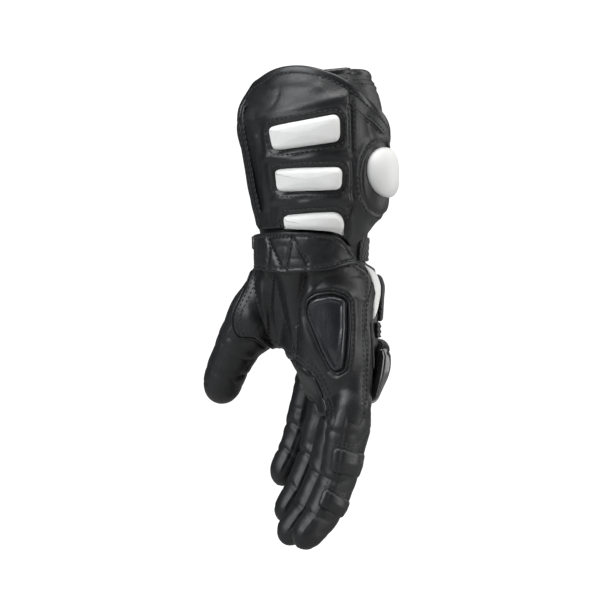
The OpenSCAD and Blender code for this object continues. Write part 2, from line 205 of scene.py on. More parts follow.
cuff_rows = smooth_table([
    (6, -2, 44.5, 29.5), (0, -2, 46, 31), (-10, -1, 50.5, 35), (-22, -2, 54.3, 39.6), (-33, -2, 54.5, 40),
    (-46, -0.5, 53, 39), (-61, 1, 51.5, 37.5), (-72, 2.6, 50, 37), (-81, 3.5, 47.6, 35.8), (-92, 1.5, 42, 31.4),
    (-97, 1.3, 39.5, 30.6), (-106, 1, 37.2, 30.5), (-118, 1, 36.5, 30.5)])
hand_rows = smooth_table([
    (-96, 1, 33.5, 27.5, 0), (-108, 1, 34, 28, 0), (-113, 1.8, 34.6, 28.8, 0), (-119, 5.6, 36, 32, -1),
    (-126, 9, 37.5, 32.5, -3), (-137, 10.8, 39.5, 30, -5), (-150, 12, 41.5, 27.5, -7),
    (-169, 14, 43.5, 25, -10), (-183, 16, 43, 20.5, -12),
    (-195, 16, 42.5, 16, -12), (-214, 12, 42, 14, -12)])
flap_edge = smooth_table([
    (-103, -17), (-101, -14), (-97, -9), (-85, -4), (-70, 0), (-58, 1), (-46, 0.5), (-34, -1.5), (-21, -5),
    (-7, -11), (8, -19), (23, -25), (37, -30), (60, -38), (85, -46), (116, -56)])
guard_edge = smooth_table([
    (-8, -98.5), (-3, -102), (2, -105), (12, -102.5), (25, -97.5), (52, -83), (75, -74), (95, -68), (116, -62)])
strap_top = smooth_table([
    (-134, -97), (-60, -96.4), (-32, -97.4), (-14, -99.4), (-6.5, -101.7), (1, -106.4), (9, -111.5)])
strap_bottom = smooth_table([
    (-134, -110), (-124, -117), (-101, -118.4), (-70, -120.4), (-50, -120.4), (-17, -118.9), (-3, -116.5),
    (9, -115.6)])


# how far the cuff's own rim stands above the opening's plane, round the forearm
rim_rows = smooth_table([
    (-30, -4), (0, -3), (30, -2), (58, -2.6), (80, -0.4), (125, 0.2), (155, -1), (190, -11),
    (235, -14), (265, -9), (300, -5), (330, -4), (360, -2), (390, 1)])


def cuff_at(t, z, off=0.0):
    r = cuff_rows(z)
    a = np.radians(t)
    x = (r[..., 1] + off) * np.cos(a)
    y = r[..., 0] + (r[..., 2] + off) * np.sin(a)
    return np.stack([x, y, np.broadcast_to(z, x.shape)], -1)


def rimmed_at(t, z, off=0.0):
    """Point on the cuff with its top edge shaped by the rim."""
    lift = rim_rows(np.mod(t, 360.0))[..., 0] * step((z + 34) / 34)
    return cuff_at(t, z + lift, off)


def hand_at(t, z, off=0.0):
    r = hand_rows(z)
    a, turn = np.radians(t), np.radians(r[..., 3])
    x, y = (r[..., 1] + off) * np.cos(a), (r[..., 2] + off) * np.sin(a)
    px, py = x * np.cos(turn) - y * np.sin(turn), r[..., 0] + x * np.sin(turn) + y * np.cos(turn)
    return np.stack([px, py, np.broadcast_to(z, px.shape)], -1)


# ---------------------------------------------------------------- mesh making

def make_object(name, verts, faces, material, normals=None):
    me = bpy.data.meshes.new(name)
    me.from_pydata((np.asarray(verts) * MM).tolist(), [], faces)
    me.polygons.foreach_set("use_smooth", [True] * len(me.polygons))
    me.materials.append(material)
    if normals is not None:
        me.normals_split_custom_set_from_vertices(normals.tolist())
    o = bpy.data.objects.new(name, me)
    bpy.context.scene.collection.objects.link(o)
    return o


def outward(o):
    bm = bmesh.new()
    bm.from_mesh(o.data)
    bmesh.ops.recalc_face_normals(bm, faces=bm.faces)
    bm.to_mesh(o.data)
    bm.free()
    return o


def grid_faces(nu, nv, wrap_u=False, wrap_v=False, start=0, flip=False):
    faces = []
    for i in range(nu if wrap_u else nu - 1):
        a, b = i * nv, (i + 1) % nu * nv
        for j in range(nv if wrap_v else nv - 1):
            k = (j + 1) % nv
            q = (start + a + j, start + b + j, start + b + k, start + a + k)
            faces.append(q[::-1] if flip else q)
    return faces


def edge_steps(length, rim, spacing):
    """Distances along a sheet, close together in its rounded rims."""
    turn = rim * (1 - np.cos(np.radians([0, 25, 50, 70, 90])))
    count = max(int((length - 2 * rim) / spacing), 1)
    middle = np.linspace(rim, length - rim, count + 1)[1:-1]
    return np.concatenate([turn, middle, (length - turn)[::-1]])


def bulge(d, rim):
    """Height share of a rounded rim at a distance from the edge."""
    s = np.clip(1 - d / rim, 0, 1)
    return np.sqrt(np.maximum(1 - s * s, 0))


def sheet(name, at, t0, t1, bottom, top, low, high, material, radius=45, spacing=1.0, rim=None, relief=None):
    """A leather sheet on a surface with rounded edges all round, between two heights above the surface."""
    rim = rim or (high - low) / 2
    per_degree = radius * math.pi / 180
    us = edge_steps((t1 - t0) * per_degree, rim, spacing)
    t = t0 + us / per_degree
    lo, hi = bottom(t), top(t)
    share = edge_steps(float((hi - lo).max()), rim, spacing)
    share = share / share[-1]
    z = lo[:, None] + (hi - lo)[:, None] * share
    tt = np.broadcast_to(t[:, None], z.shape)
    du = np.minimum(us, us[-1] - us)[:, None]
    dv = (hi - lo)[:, None] * np.minimum(share, 1 - share)
    d = np.minimum(du, dv)
    middle, half = (low + high) / 2, (high - low) / 2
    lift = half * bulge(d, rim)
    up = middle + lift
    if relief is not None:
        up = up + relief(tt, z, at(tt, z, up)) * bulge(d, 2 * rim)
    return two_sided(name, at(tt, z, up), at(tt, z, middle - lift), material)


def two_sided(name, outer, inner, material):
    """A closed sheet from the grids of points of its two faces, welded round its edges."""
    nu, nv = outer.shape[:2]
    verts = np.vstack([outer.reshape(-1, 3), inner.reshape(-1, 3)])
    faces = grid_faces(nu, nv) + grid_faces(nu, nv, start=nu * nv, flip=True)
    o = make_object(name, verts, faces, material)
    weld(o)
    return outward(o)


def capped_rings(name, rings, top, base, material):
    """A closed form from rings of points. Its first ring is closed at base and its last at top."""
    n = len(rings[0])
    verts = np.vstack([*rings, top[None], base[None]])
    faces = grid_faces(len(rings), n, wrap_v=True)
    last = (len(rings) - 1) * n
    faces += [(last + j, last + (j + 1) % n, len(verts) - 2) for j in range(n)]
    faces += [((j + 1) % n, j, len(verts) - 1) for j in range(n)]
    return outward(make_object(name, verts, faces, material))


def weld(o, distance=0.00002):
    bm = bmesh.new()
    bm.from_mesh(o.data)
    bmesh.ops.remove_doubles(bm, verts=bm.verts, dist=distance)
    bm.to_mesh(o.data)
    bm.free()


def sweep(name, path, up, profile, material, closed=False, taper=True):
    """A closed profile of (side, up) points swept along a path with its own up directions."""
    path, up = np.asarray(path, float), unit(np.asarray(up, float))
    along = np.roll(path, -1, 0) - np.roll(path, 1, 0)
    if not closed:
        along[0], along[-1] = path[1] - path[0], path[-1] - path[-2]
    side = unit(np.cross(up, unit(along)))
    profile = np.asarray(profile, float)
    scale = np.ones(len(path))
    if taper and not closed:
        scale[[0, -1]] = 0.05
        scale[[1, -2]] = 0.75
    middle = profile.mean(0)
    shape = middle + (profile[None] - middle) * scale[:, None, None]
    verts = path[:, None] + side[:, None] * shape[..., :1] + up[:, None] * shape[..., 1:]
    n, m = len(path), len(profile)
    faces = grid_faces(n, m, wrap_u=closed, wrap_v=True)
    if not closed:
        faces += [tuple(range(m)), tuple(range((n - 1) * m, n * m))[::-1]]
    return outward(make_object(name, verts.reshape(-1, 3), faces, material))


def ring_profile(radius, count=10, lift=0.0):
    a = circle(count)
    return np.stack([radius * np.cos(a), lift + radius * np.sin(a)], -1)


STITCH_RINGS = [(-1, 0.25), (-0.75, 0.85), (0, 1.05), (0.75, 0.85), (1, 0.25)]


def stitches(name, runs, material, length=2.1, gap=1.0, radius=0.3, lift=0.1):
    """One mesh of short thread stitches along runs of (points, normals)."""
    verts, faces = [], []
    sides = 6
    for points, normals in runs:
        s = arc_length(points)
        for k in range(int(s[-1] // (length + gap))):
            ends = k * (length + gap) + np.array([0, length])
            a, b = (np.array([np.interp(e, s, points[:, i]) for i in range(3)]) for e in ends)
            n = unit(np.array([np.interp(ends.mean(), s, normals[:, i]) for i in range(3)]))
            along = unit(b - a)
            side = unit(np.cross(n, along))
            middle = (a + b) / 2 + n * lift
            start = len(verts)
            for x, r in STITCH_RINGS:
                for j in range(sides):
                    angle = 2 * math.pi * j / sides
                    sink = -0.22 * x * x
                    verts.append(middle + along * x * length / 2 + n * (sink + r * radius * math.sin(angle))
                                 + side * r * radius * math.cos(angle))
            faces += grid_faces(len(STITCH_RINGS), sides, wrap_v=True, start=start)
            faces += [tuple(start + j for j in range(sides))]
            last = start + (len(STITCH_RINGS) - 1) * sides
            faces += [tuple(last + j for j in range(sides))[::-1]]
    return outward(make_object(name, np.array(verts), faces, material))


class Target:
    """A surface that pieces and stitch lines are laid on."""

    def __init__(self, verts, faces):
        self.verts = np.asarray(verts, float)
        self.faces = faces
        self.tree = BVHTree.FromPolygons([Vector(v) for v in self.verts], faces)
        normals = np.zeros_like(self.verts)
        f = np.array([q[:4] if len(q) == 4 else (*q, q[-1]) for q in faces])
        n = np.cross(self.verts[f[:, 2]] - self.verts[f[:, 0]], self.verts[f[:, 3]] - self.verts[f[:, 1]])
        for k in range(4):
            np.add.at(normals, f[:, k], n)
        self.normals = unit(normals)

    def normal_at(self, place, index):
        face = list(self.faces[index])
        w = 1 / (np.linalg.norm(self.verts[face] - place, axis=1) + 0.05)
        return unit((self.normals[face] * w[:, None]).sum(0))

    def seen(self, uv):
        """Points and normals where sight lines through the side plane meet the surface."""
        points, normals = [], []
        for u, v in np.asarray(uv, float):
            through = RIGHT * u + np.array([0, 0, v])
            direction = unit(through - EYE)
            place, _, index, _ = self.tree.ray_cast(Vector(EYE), Vector(direction))
            if index is None:
                place, _, index, _ = self.tree.find_nearest(Vector(through + TOWARDS * 30))
            place = np.array(place)
            n = self.normal_at(place, index)
            points.append(place)
            normals.append(n if n @ TOWARDS > -0.3 else -n)
        return np.array(points), np.array(normals)

    def runs(self, uv, sink=0.0):
        """The stretches of a line that are seen on the surface, as (points, normals)."""
        found, run = [], []
        for u, v in [*np.asarray(uv, float), (9999, 9999)]:
            direction = unit(RIGHT * u + np.array([0, 0, v]) - EYE)
            place, _, index, _ = self.tree.ray_cast(Vector(EYE), Vector(direction))
            n = None if index is None else self.normal_at(np.array(place), index)
            if n is not None and abs(n @ TOWARDS) > 0.12:
                run.append((np.array(place) - n * sink, n))
                continue
            if len(run) > 4:
                found.append(tuple(np.array(c) for c in zip(*run)))
            run = []
        return found


def surface_target(at, t0, t1, bottom, top, off, spacing=2.0):
    t = np.linspace(t0, t1, int((t1 - t0) * 0.8 / spacing) + 2)
    lo, hi = bottom(t), top(t)
    v = np.linspace(0, 1, int(float((hi - lo).max()) / spacing) + 2)
    z = lo[:, None] + (hi - lo)[:, None] * v
    p = at(np.broadcast_to(t[:, None], z.shape), z, off)
    return Target(p.reshape(-1, 3), grid_faces(*z.shape))


def inwards_of(line, closed=True):
    """Directions into a closed outline, or to the left of an open line."""
    along = unit(np.roll(line, -1, 0) - np.roll(line, 1, 0))
    if not closed:
        along[0], along[-1] = unit(line[1] - line[0]), unit(line[-1] - line[-2])
    area = 0.5 * np.sum(line[:, 0] * np.roll(line[:, 1], -1) - np.roll(line[:, 0], -1) * line[:, 1])
    return np.stack([-along[:, 1], along[:, 0]], -1) * (1 if area > 0 or not closed else -1)


def pad(name, outline, target, height, material, rim=2.2, crown=0.5, sink=1.0, spacing=1.0, relief=None):
    """A padded piece on a target, inside a closed outline in the side plane."""
    line = rounded(outline, spacing, 5)
    inwards = inwards_of(line)
    centre = line.mean(0)
    rings, heights = [centre + (line - centre) * k for k in (0.2, 0.4, 0.6, 0.8)] + [line], [-sink] * 5
    for a in (0, 20, 40, 60, 90):
        rings.append(line + inwards * rim * (1 - math.cos(math.radians(a))))
        heights.append(height * (1 - crown) * math.sin(math.radians(a)))
    inner = rings[-1]
    count = max(int(np.linalg.norm(inner - centre, axis=1).max() / 1.3), 3)
    for k in range(1, count):
        s = k / count
        rings.append(centre + (inner - centre) * (1 - s))
        heights.append(height * (1 - crown + crown * math.sin(math.pi / 2 * min(1, s))))
    verts = []
    for ring, h in zip(rings, heights):
        p, nrm = target.seen(ring)
        extra = 0 if relief is None or h <= 0 else relief(ring)
        verts.append(p + nrm * (h + extra if np.isscalar(extra) else (h + extra)[:, None]))
    p, nrm = target.seen([centre])
    return capped_rings(name, verts, p[0] + nrm[0] * height, verts[0].mean(0), material)


def inset_line(outline, distance, spacing=1.0, closed=True):
    line = rounded(outline, spacing, 3, closed)
    return line + inwards_of(line, closed) * distance


# ---------------------------------------------------------------- materials


def new_material(name):
    m = bpy.data.materials.new(name)
    m.use_nodes = True
    tree = m.node_tree
    return m, tree, tree.nodes["Principled BSDF"]


def node(tree, kind, **values):
    n = tree.nodes.new(kind)
    for k, v in values.items():
        if k in n.inputs:
            n.inputs[k].default_value = v
        else:
            setattr(n, k, v)
    return n


def coordinates(tree):
    return node(tree, "ShaderNodeTexCoord").outputs["Object"]


def colour_mix(tree, factor, dark, light):
    ramp = node(tree, "ShaderNodeValToRGB")
    ramp.color_ramp.elements[0].color = (*dark, 1)
    ramp.color_ramp.elements[1].color = (*light, 1)
    ramp.color_ramp.elements[0].position = 0.3
    ramp.color_ramp.elements[1].position = 0.72
    tree.links.new(factor, ramp.inputs["Fac"])
    return ramp.outputs["Color"]


def remap(tree, value, low, high):
    n = node(tree, "ShaderNodeMapRange")
    n.inputs["To Min"].default_value = low
    n.inputs["To Max"].default_value = high
    tree.links.new(value, n.inputs["Value"])
    return n.outputs["Result"]


def bump_chain(tree, bsdf, *layers):
    """Bump layers of (height output, distance in metres), finest last."""
    normal = None
    for height, distance in layers:
        b = node(tree, "ShaderNodeBump", Strength=1.0, Distance=distance)
        tree.links.new(height, b.inputs["Height"])
        if normal is not None:
            tree.links.new(normal, b.inputs["Normal"])
        normal = b.outputs["Normal"]
    tree.links.new(normal, bsdf.inputs["Normal"])


def leather(name, dark, light, roughness, grain=1050, pebble=0.00005, creases=0.00013, coat=0.0):
    """Grained leather: pebbled cells, fine pores, long soft creases and worn colour."""
    m, tree, bsdf = new_material(name)
    at = coordinates(tree)
    cells = node(tree, "ShaderNodeTexVoronoi", feature="SMOOTH_F1", Scale=grain)
    cells.inputs["Smoothness"].default_value = 0.6
    pores = node(tree, "ShaderNodeTexNoise", Scale=grain * 2.6, Detail=3.0)
    folds = node(tree, "ShaderNodeTexNoise", Scale=150.0, Detail=2.0, Distortion=1.2)
    tone = node(tree, "ShaderNodeTexNoise", Scale=38.0, Detail=6.0)
    warp = node(tree, "ShaderNodeTexNoise", Scale=grain * 0.35, Detail=2.0)
    mix = node(tree, "ShaderNodeVectorMath", operation="MULTIPLY_ADD")
    mix.inputs[1].default_value = (0.0008, 0.0008, 0.0008)
    tree.links.new(at, warp.inputs["Vector"])
    tree.links.new(warp.outputs["Color"], mix.inputs[0])
    tree.links.new(at, mix.inputs[2])
    tree.links.new(mix.outputs["Vector"], cells.inputs["Vector"])
    for n in (pores, folds, tone):
        tree.links.new(at, n.inputs["Vector"])
    tree.links.new(colour_mix(tree, tone.outputs["Fac"], dark, light), bsdf.inputs["Base Color"])
    tree.links.new(remap(tree, folds.outputs["Fac"], roughness - 0.09, roughness + 0.11),
                   bsdf.inputs["Roughness"])
    bump_chain(tree, bsdf, (folds.outputs["Fac"], creases), (cells.outputs["Distance"], pebble),
               (pores.outputs["Fac"], 0.000012))
    bsdf.inputs["Specular IOR Level"].default_value = 0.5
    bsdf.inputs["Coat Weight"].default_value = coat
    bsdf.inputs["Coat Roughness"].default_value = 0.35
    return m


def plastic(name, dark, light, roughness, scratch=0.00002, coat=0.0):
    """Moulded plastic with a faint mould texture and fine scuffs."""
    m, tree, bsdf = new_material(name)
    at = coordinates(tree)
    tone = node(tree, "ShaderNodeTexNoise", Scale=60.0, Detail=5.0)
    fine = node(tree, "ShaderNodeTexNoise", Scale=2600.0, Detail=2.0)
    stretch = node(tree, "ShaderNodeMapping")
    stretch.inputs["Scale"].default_value = (1.0, 1.0, 0.12)
    scuff = node(tree, "ShaderNodeTexNoise", Scale=700.0, Detail=4.0)
    tree.links.new(at, stretch.inputs["Vector"])
    tree.links.new(stretch.outputs["Vector"], scuff.inputs["Vector"])
    for n in (tone, fine):
        tree.links.new(at, n.inputs["Vector"])
    tree.links.new(colour_mix(tree, tone.outputs["Fac"], dark, light), bsdf.inputs["Base Color"])
    tree.links.new(remap(tree, scuff.outputs["Fac"], roughness - 0.06, roughness + 0.1),
                   bsdf.inputs["Roughness"])
    bump_chain(tree, bsdf, (scuff.outputs["Fac"], scratch), (fine.outputs["Fac"], scratch))
    bsdf.inputs["Coat Weight"].default_value = coat
    bsdf.inputs["Coat Roughness"].default_value = 0.08
    return m


def fabric(name, dark, light, rib=1500.0, relief=0.0003, direction="Z", sheen=0.3):
    """Knitted or ribbed textile."""
    m, tree, bsdf = new_material(name)
    at = coordinates(tree)
    ribs = node(tree, "ShaderNodeTexWave", Scale=rib / 6.3, Distortion=1.5, bands_direction=direction)
    fuzz = node(tree, "ShaderNodeTexNoise", Scale=2200.0, Detail=4.0)
    tone = node(tree, "ShaderNodeTexNoise", Scale=90.0, Detail=4.0)
    for n in (ribs, fuzz, tone):
        tree.links.new(at, n.inputs["Vector"])
    tree.links.new(colour_mix(tree, tone.outputs["Fac"], dark, light), bsdf.inputs["Base Color"])
    tree.links.new(remap(tree, fuzz.outputs["Fac"], 0.8, 0.98), bsdf.inputs["Roughness"])
    bump_chain(tree, bsdf, (ribs.outputs["Fac"], relief), (fuzz.outputs["Fac"], 0.0001))
    bsdf.inputs["Sheen Weight"].default_value = sheen
    bsdf.inputs["Specular IOR Level"].default_value = 0.3
    return m


def perforated(name, dark, light):
    """Leather with a regular field of punched holes, with painted shade darkening the colour inside each hole.
    """
    m = leather(name, dark, light, 0.45)
    tree, bsdf = m.node_tree, m.node_tree.nodes["Principled BSDF"]
    at = coordinates(tree)
    holes = node(tree, "ShaderNodeTexVoronoi", Scale=330.0, Randomness=0.0)
    tree.links.new(at, holes.inputs["Vector"])
    ring = remap(tree, holes.outputs["Distance"], 0, 1)
    hole_depth_and_shade_mask = node(tree, "ShaderNodeMapRange")
    hole_depth_and_shade_mask.inputs["From Min"].default_value = 0.2
    hole_depth_and_shade_mask.inputs["From Max"].default_value = 0.32
    tree.links.new(ring, hole_depth_and_shade_mask.inputs["Value"])
    old = bsdf.inputs["Base Color"].links[0].from_socket
    mix = node(tree, "ShaderNodeMix", data_type="RGBA")
    # painted shade: the base colour inside each punched hole is darkened to near black to stand for the shadow
    # in the hole
    mix.inputs[6].default_value = (0.002, 0.002, 0.002, 1)
    tree.links.new(hole_depth_and_shade_mask.outputs["Result"], mix.inputs[0])
    tree.links.new(old, mix.inputs[7])
    tree.links.new(mix.outputs[2], bsdf.inputs["Base Color"])
    last = bsdf.inputs["Normal"].links[0].from_socket
    b = node(tree, "ShaderNodeBump", Strength=1.0, Distance=0.0005)
    tree.links.new(hole_depth_and_shade_mask.outputs["Result"], b.inputs["Height"])
    tree.links.new(last, b.inputs["Normal"])
    tree.links.new(b.outputs["Normal"], bsdf.inputs["Normal"])
    return m


BLACK = leather("black_leather", (0.005, 0.0053, 0.006), (0.010, 0.0105, 0.012), 0.42)
SIDE = leather("side_leather", (0.007, 0.0073, 0.0082), (0.012, 0.0125, 0.014), 0.40)
FINGER = leather("finger_leather", (0.0045, 0.0048, 0.0055), (0.009, 0.0095, 0.011), 0.46, grain=1200)
WHITE = leather("white_leather", (0.74, 0.74, 0.725), (0.83, 0.83, 0.815), 0.5, grain=1300, pebble=0.00004,
                creases=0.0001)
TRIM = leather("binding_leather", (0.006, 0.0063, 0.007), (0.013, 0.0135, 0.015), 0.33, pebble=0.00004)
HOLED = perforated("perforated_leather", (0.012, 0.012, 0.014), (0.024, 0.024, 0.028))
THREAD = fabric("black_thread", (0.012, 0.012, 0.014), (0.045, 0.046, 0.05), rib=5200,
                relief=0.00012, sheen=0.2)
LINING = fabric("lining_knit", (0.02, 0.02, 0.022), (0.05, 0.05, 0.055))
ELASTIC = fabric("elastic_rib", (0.008, 0.008, 0.009), (0.022, 0.022, 0.024), rib=900, direction="X")
HOOK = fabric("hook_and_loop_tape", (0.006, 0.006, 0.006), (0.02, 0.02, 0.02), rib=4000, relief=0.0004)
SLIDER = plastic("slider_satin", (0.010, 0.0105, 0.013), (0.017, 0.0175, 0.021), 0.27, coat=0.25)
SHELL = plastic("knuckle_gloss", (0.006, 0.006, 0.007), (0.012, 0.012, 0.014), 0.14, coat=0.6)
TAB = plastic("pull_tab_rubber", (0.008, 0.008, 0.009), (0.016, 0.016, 0.018), 0.25, coat=0.3)

# ---------------------------------------------------------------- cuff

CUFF_TOP, CUFF_BOTTOM = -1.0, -112
HEM_ROWS = (-4.6, -7.2)
CUFF_SEAMS = (190, 128, 60)
SEAM_ROW_GAP = 2.5
FLAP_LOW, FLAP_HIGH = 1.9, 3.8
BINDING_W = 5.5
FLAP_T0, GUARD_T1, HINGE_T = -98.5, 114.0, -8.0
HINGE_LEAN = 0.03

bar_1 = [(-25, -31), (-19, -29.6), (0, -26), (14.5, -23.2), (17, -26), (17, -37.5), (15.5, -40), (0, -42.3),
         (-20.5, -45.3), (-23, -44), (-25, -34)]
bar_2 = [(-21.5, -57), (-10, -56.2), (16.5, -55.5), (18.5, -57.5), (18, -67.5), (16, -69.3), (-17.5, -70.5),
         (-20.3, -69)]
bar_3 = [(-16.5, -85), (0, -83.6), (14.5, -83),
         (18.5, -85.5), (19.5, -90), (19.3, -98), (10, -97.2), (0, -96.6),
         (-14.5, -96.2), (-16, -92)]
oval_ring = [(45, -37.5), (39, -38.5), (33.5, -42.5), (29.5, -49), (27.5, -59), (27.8, -68), (29.5, -76),
             (33.5, -83), (39, -86.5), (44, -86)]
wrist_oval = [(39, -41.5), (35, -45), (32, -51), (30.5, -59), (30.7, -67), (32, -74), (35, -80), (40, -83.5),
              (45, -84), (52, -80), (54, -62), (51, -45), (45, -41.5)]


def thick_tube(name, z_top, z_bottom, off_out, off_in, material, relief=None, at=rimmed_at):
    """A closed sleeve with rolled rims."""
    t = np.arange(0, 360, 1.25)
    down = np.linspace(z_top, z_bottom, int((z_top - z_bottom) / 1.1) + 1)
    r = (off_out - off_in) / 2
    turn = np.radians([30, 60, 90, 120, 150])
    zs = np.concatenate([down, z_bottom - r * np.sin(turn), down[::-1], z_top + r * np.sin(turn)])
    mid = (off_out + off_in) / 2
    offs = np.concatenate([
        np.full(len(down), off_out), mid + r * np.cos(turn),
        np.full(len(down), off_in), mid - r * np.cos(turn)])
    tt, zz = np.meshgrid(t, zs, indexing="ij")
    off = np.broadcast_to(offs, zz.shape).copy()
    if relief is not None:
        off[:, : len(down)] += relief(tt[:, : len(down)], zz[:, : len(down)])
    p = at(tt, zz, off)
    faces = grid_faces(*zz.shape, wrap_u=True, wrap_v=True)
    return outward(make_object(name, p.reshape(-1, 3), faces, material))


def cuff_relief(t, z):
    p = rimmed_at(t, z)
    hem = -0.5 * swell(z + 9.5, 0.8)
    seam = sum(-0.9 * swell((t - s + 180) % 360 - 180, 1.1) for s in CUFF_SEAMS)
    gather = 1.1 * np.sin(np.radians(t * 24) + 2 * noise(p, 9, 4)) * swell(z + 104, 6)
    gather = gather * step((np.abs((t - 90 + 180) % 360 - 180) - 75) / -10)
    soft = 0.9 * noise(p, 26, 7) + 0.35 * noise(p, 11, 8) + 0.6 * wrinkles(p, 17, 9)
    calm = step((-z - 2) / 12)
    return hem + seam + gather + soft * calm


def build_cuff():
    shell = thick_tube("cuff_leather", CUFF_TOP, CUFF_BOTTOM, 0, -1.5, BLACK, cuff_relief)
    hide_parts("cuff_shell")
    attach(shell, "cuff")
    liner = thick_tube("cuff_knit_lining", -1.5, -111, -1.9, -2.6, LINING,
                       lambda t, z: -0.4 + 0.5 * noise(rimmed_at(t, z), 18, 3) - 0.4)
    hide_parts("cuff_lining")
    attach(liner, "cuff")
    t = np.arange(0, 360, 1.5)
    path = rimmed_at(t, np.full(len(t), -0.6), -1.0)
    up = rimmed_at(t, np.full(len(t), -0.6), 5.0) - path
    a = circle(14)
    roll = np.stack([2.6 * np.cos(a), 0.1 + 1.75 * np.sin(a)], -1)
    edge = sweep("cuff_edge_binding", path, up, roll, TRIM, closed=True)
    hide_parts("cuff_binding")
    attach(edge, "cuff")

    def thread_row(tt, zz):
        p = rimmed_at(tt, zz, cuff_relief(tt, zz) + 0.1)
        return p, unit(rimmed_at(tt, zz, 4) - rimmed_at(tt, zz, 0))

    rows = [thread_row(t, np.full(len(t), z)) for z in HEM_ROWS]
    down = np.linspace(-12, -110, 60)
    for seam in CUFF_SEAMS[:2]:
        rows += [thread_row(np.full(len(down), seam + side), down) for side in (-SEAM_ROW_GAP, SEAM_ROW_GAP)]
    thread = stitches("cuff_hem_stitching", rows, THREAD)
    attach(thread, "cuff")
    band = sheet("wrist_shirring", cuff_at, 20, 160, lambda t: t * 0 - 113.2, lambda t: t * 0 - 99, -0.5, 1.4,
                 ELASTIC, radius=37, relief=lambda t, z, p: 0.22 * np.sin((z + 99) * 1.75))
    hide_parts("wrist_elastic")
    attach(band, "cuff")


# ---------------------------------------------------------------- flap and guard panel


def flap_top(t):
    return flap_edge(t)[..., 0] - BINDING_W + 2.0


def flap_bottom(t):
    left = strap_top(np.minimum(t, 8))[..., 0] + 2.0
    right = guard_edge(t)[..., 0]
    return left + (right - left) * step((t + 14) / 9)


def panel_relief(t, z, p):
    """Welted windows round the bars and the wrist guard, and soft folds in the leather between them."""
    uv = to_uv(p)
    facing = step((unit(cuff_at(t, z, 5) - cuff_at(t, z, 0)) @ TOWARDS + 0.15) / 0.3)
    out, calm = np.zeros(t.shape), np.ones(t.shape)
    for outline in (bar_1, bar_2, bar_3, wrist_oval):
        d = -depth_inside(uv, outline)
        out += facing * (0.8 * swell(d - 3.6, 2.0) - 0.9 * swell(d - 0.3, 1.1))
        calm = np.minimum(calm, step((d + 0.5) / 6))
    fold = 1.1 * swell(line_distance(uv, [(-40, -27), (-22, -23), (0, -17), (20, -13)]), 3.4)
    fold += 0.7 * swell(line_distance(uv, [(-38, -12), (-20, -7), (4, -7)]), 3.0)
    between = [[(-27, -50), (-10, -51), (8, -48.5), (24, -49)],
               [(-22, -76), (-4, -77.5), (10, -75.5), (24, -76)]]
    for line in between:
        fold += 1.3 * swell(line_distance(uv, line), 2.2)
    left = [[(-34, -38), (-31, -58), (-28, -80)], [(-28.5, -36), (-27, -50), (-23, -66)]]
    for line in left:
        fold += 0.8 * swell(line_distance(uv, line), 2.0)
    hinge = -1.1 * swell(t - HINGE_T - (z + 60) * HINGE_LEAN, 1.6)
    soft = 0.8 * noise(p, 21, 21) + 0.35 * noise(p, 9, 22) + 0.4 * wrinkles(p, 18, 23)
    return out + (facing * fold + soft) * calm + hinge


def blended_flap(o):
    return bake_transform(o)


def dome_on_cuff(name, t0, z0, half_t, half_z, height):
    """An oval pillow on the guard panel."""
    a = circle(72)
    c, q = squared_off(np.cos(a), 0.85), squared_off(np.sin(a), 0.85)
    verts = []
    profile = [(share, FLAP_HIGH - 1.4) for share in (0.05, 0.25, 0.5, 0.75, 1.0)]
    for turn in np.radians([12, 24, 36, 48, 58, 66, 74, 82, 88]):
        profile.append((math.cos(turn), FLAP_HIGH - 1.2 + (height + 1.2) * math.sin(turn) ** 0.62))
    for share, lift in profile:
        verts.append(cuff_at(t0 + half_t * share * c, z0 + half_z * share * q, lift))
    return capped_rings(name, verts, verts[-1].mean(0), verts[0].mean(0), WHITE)


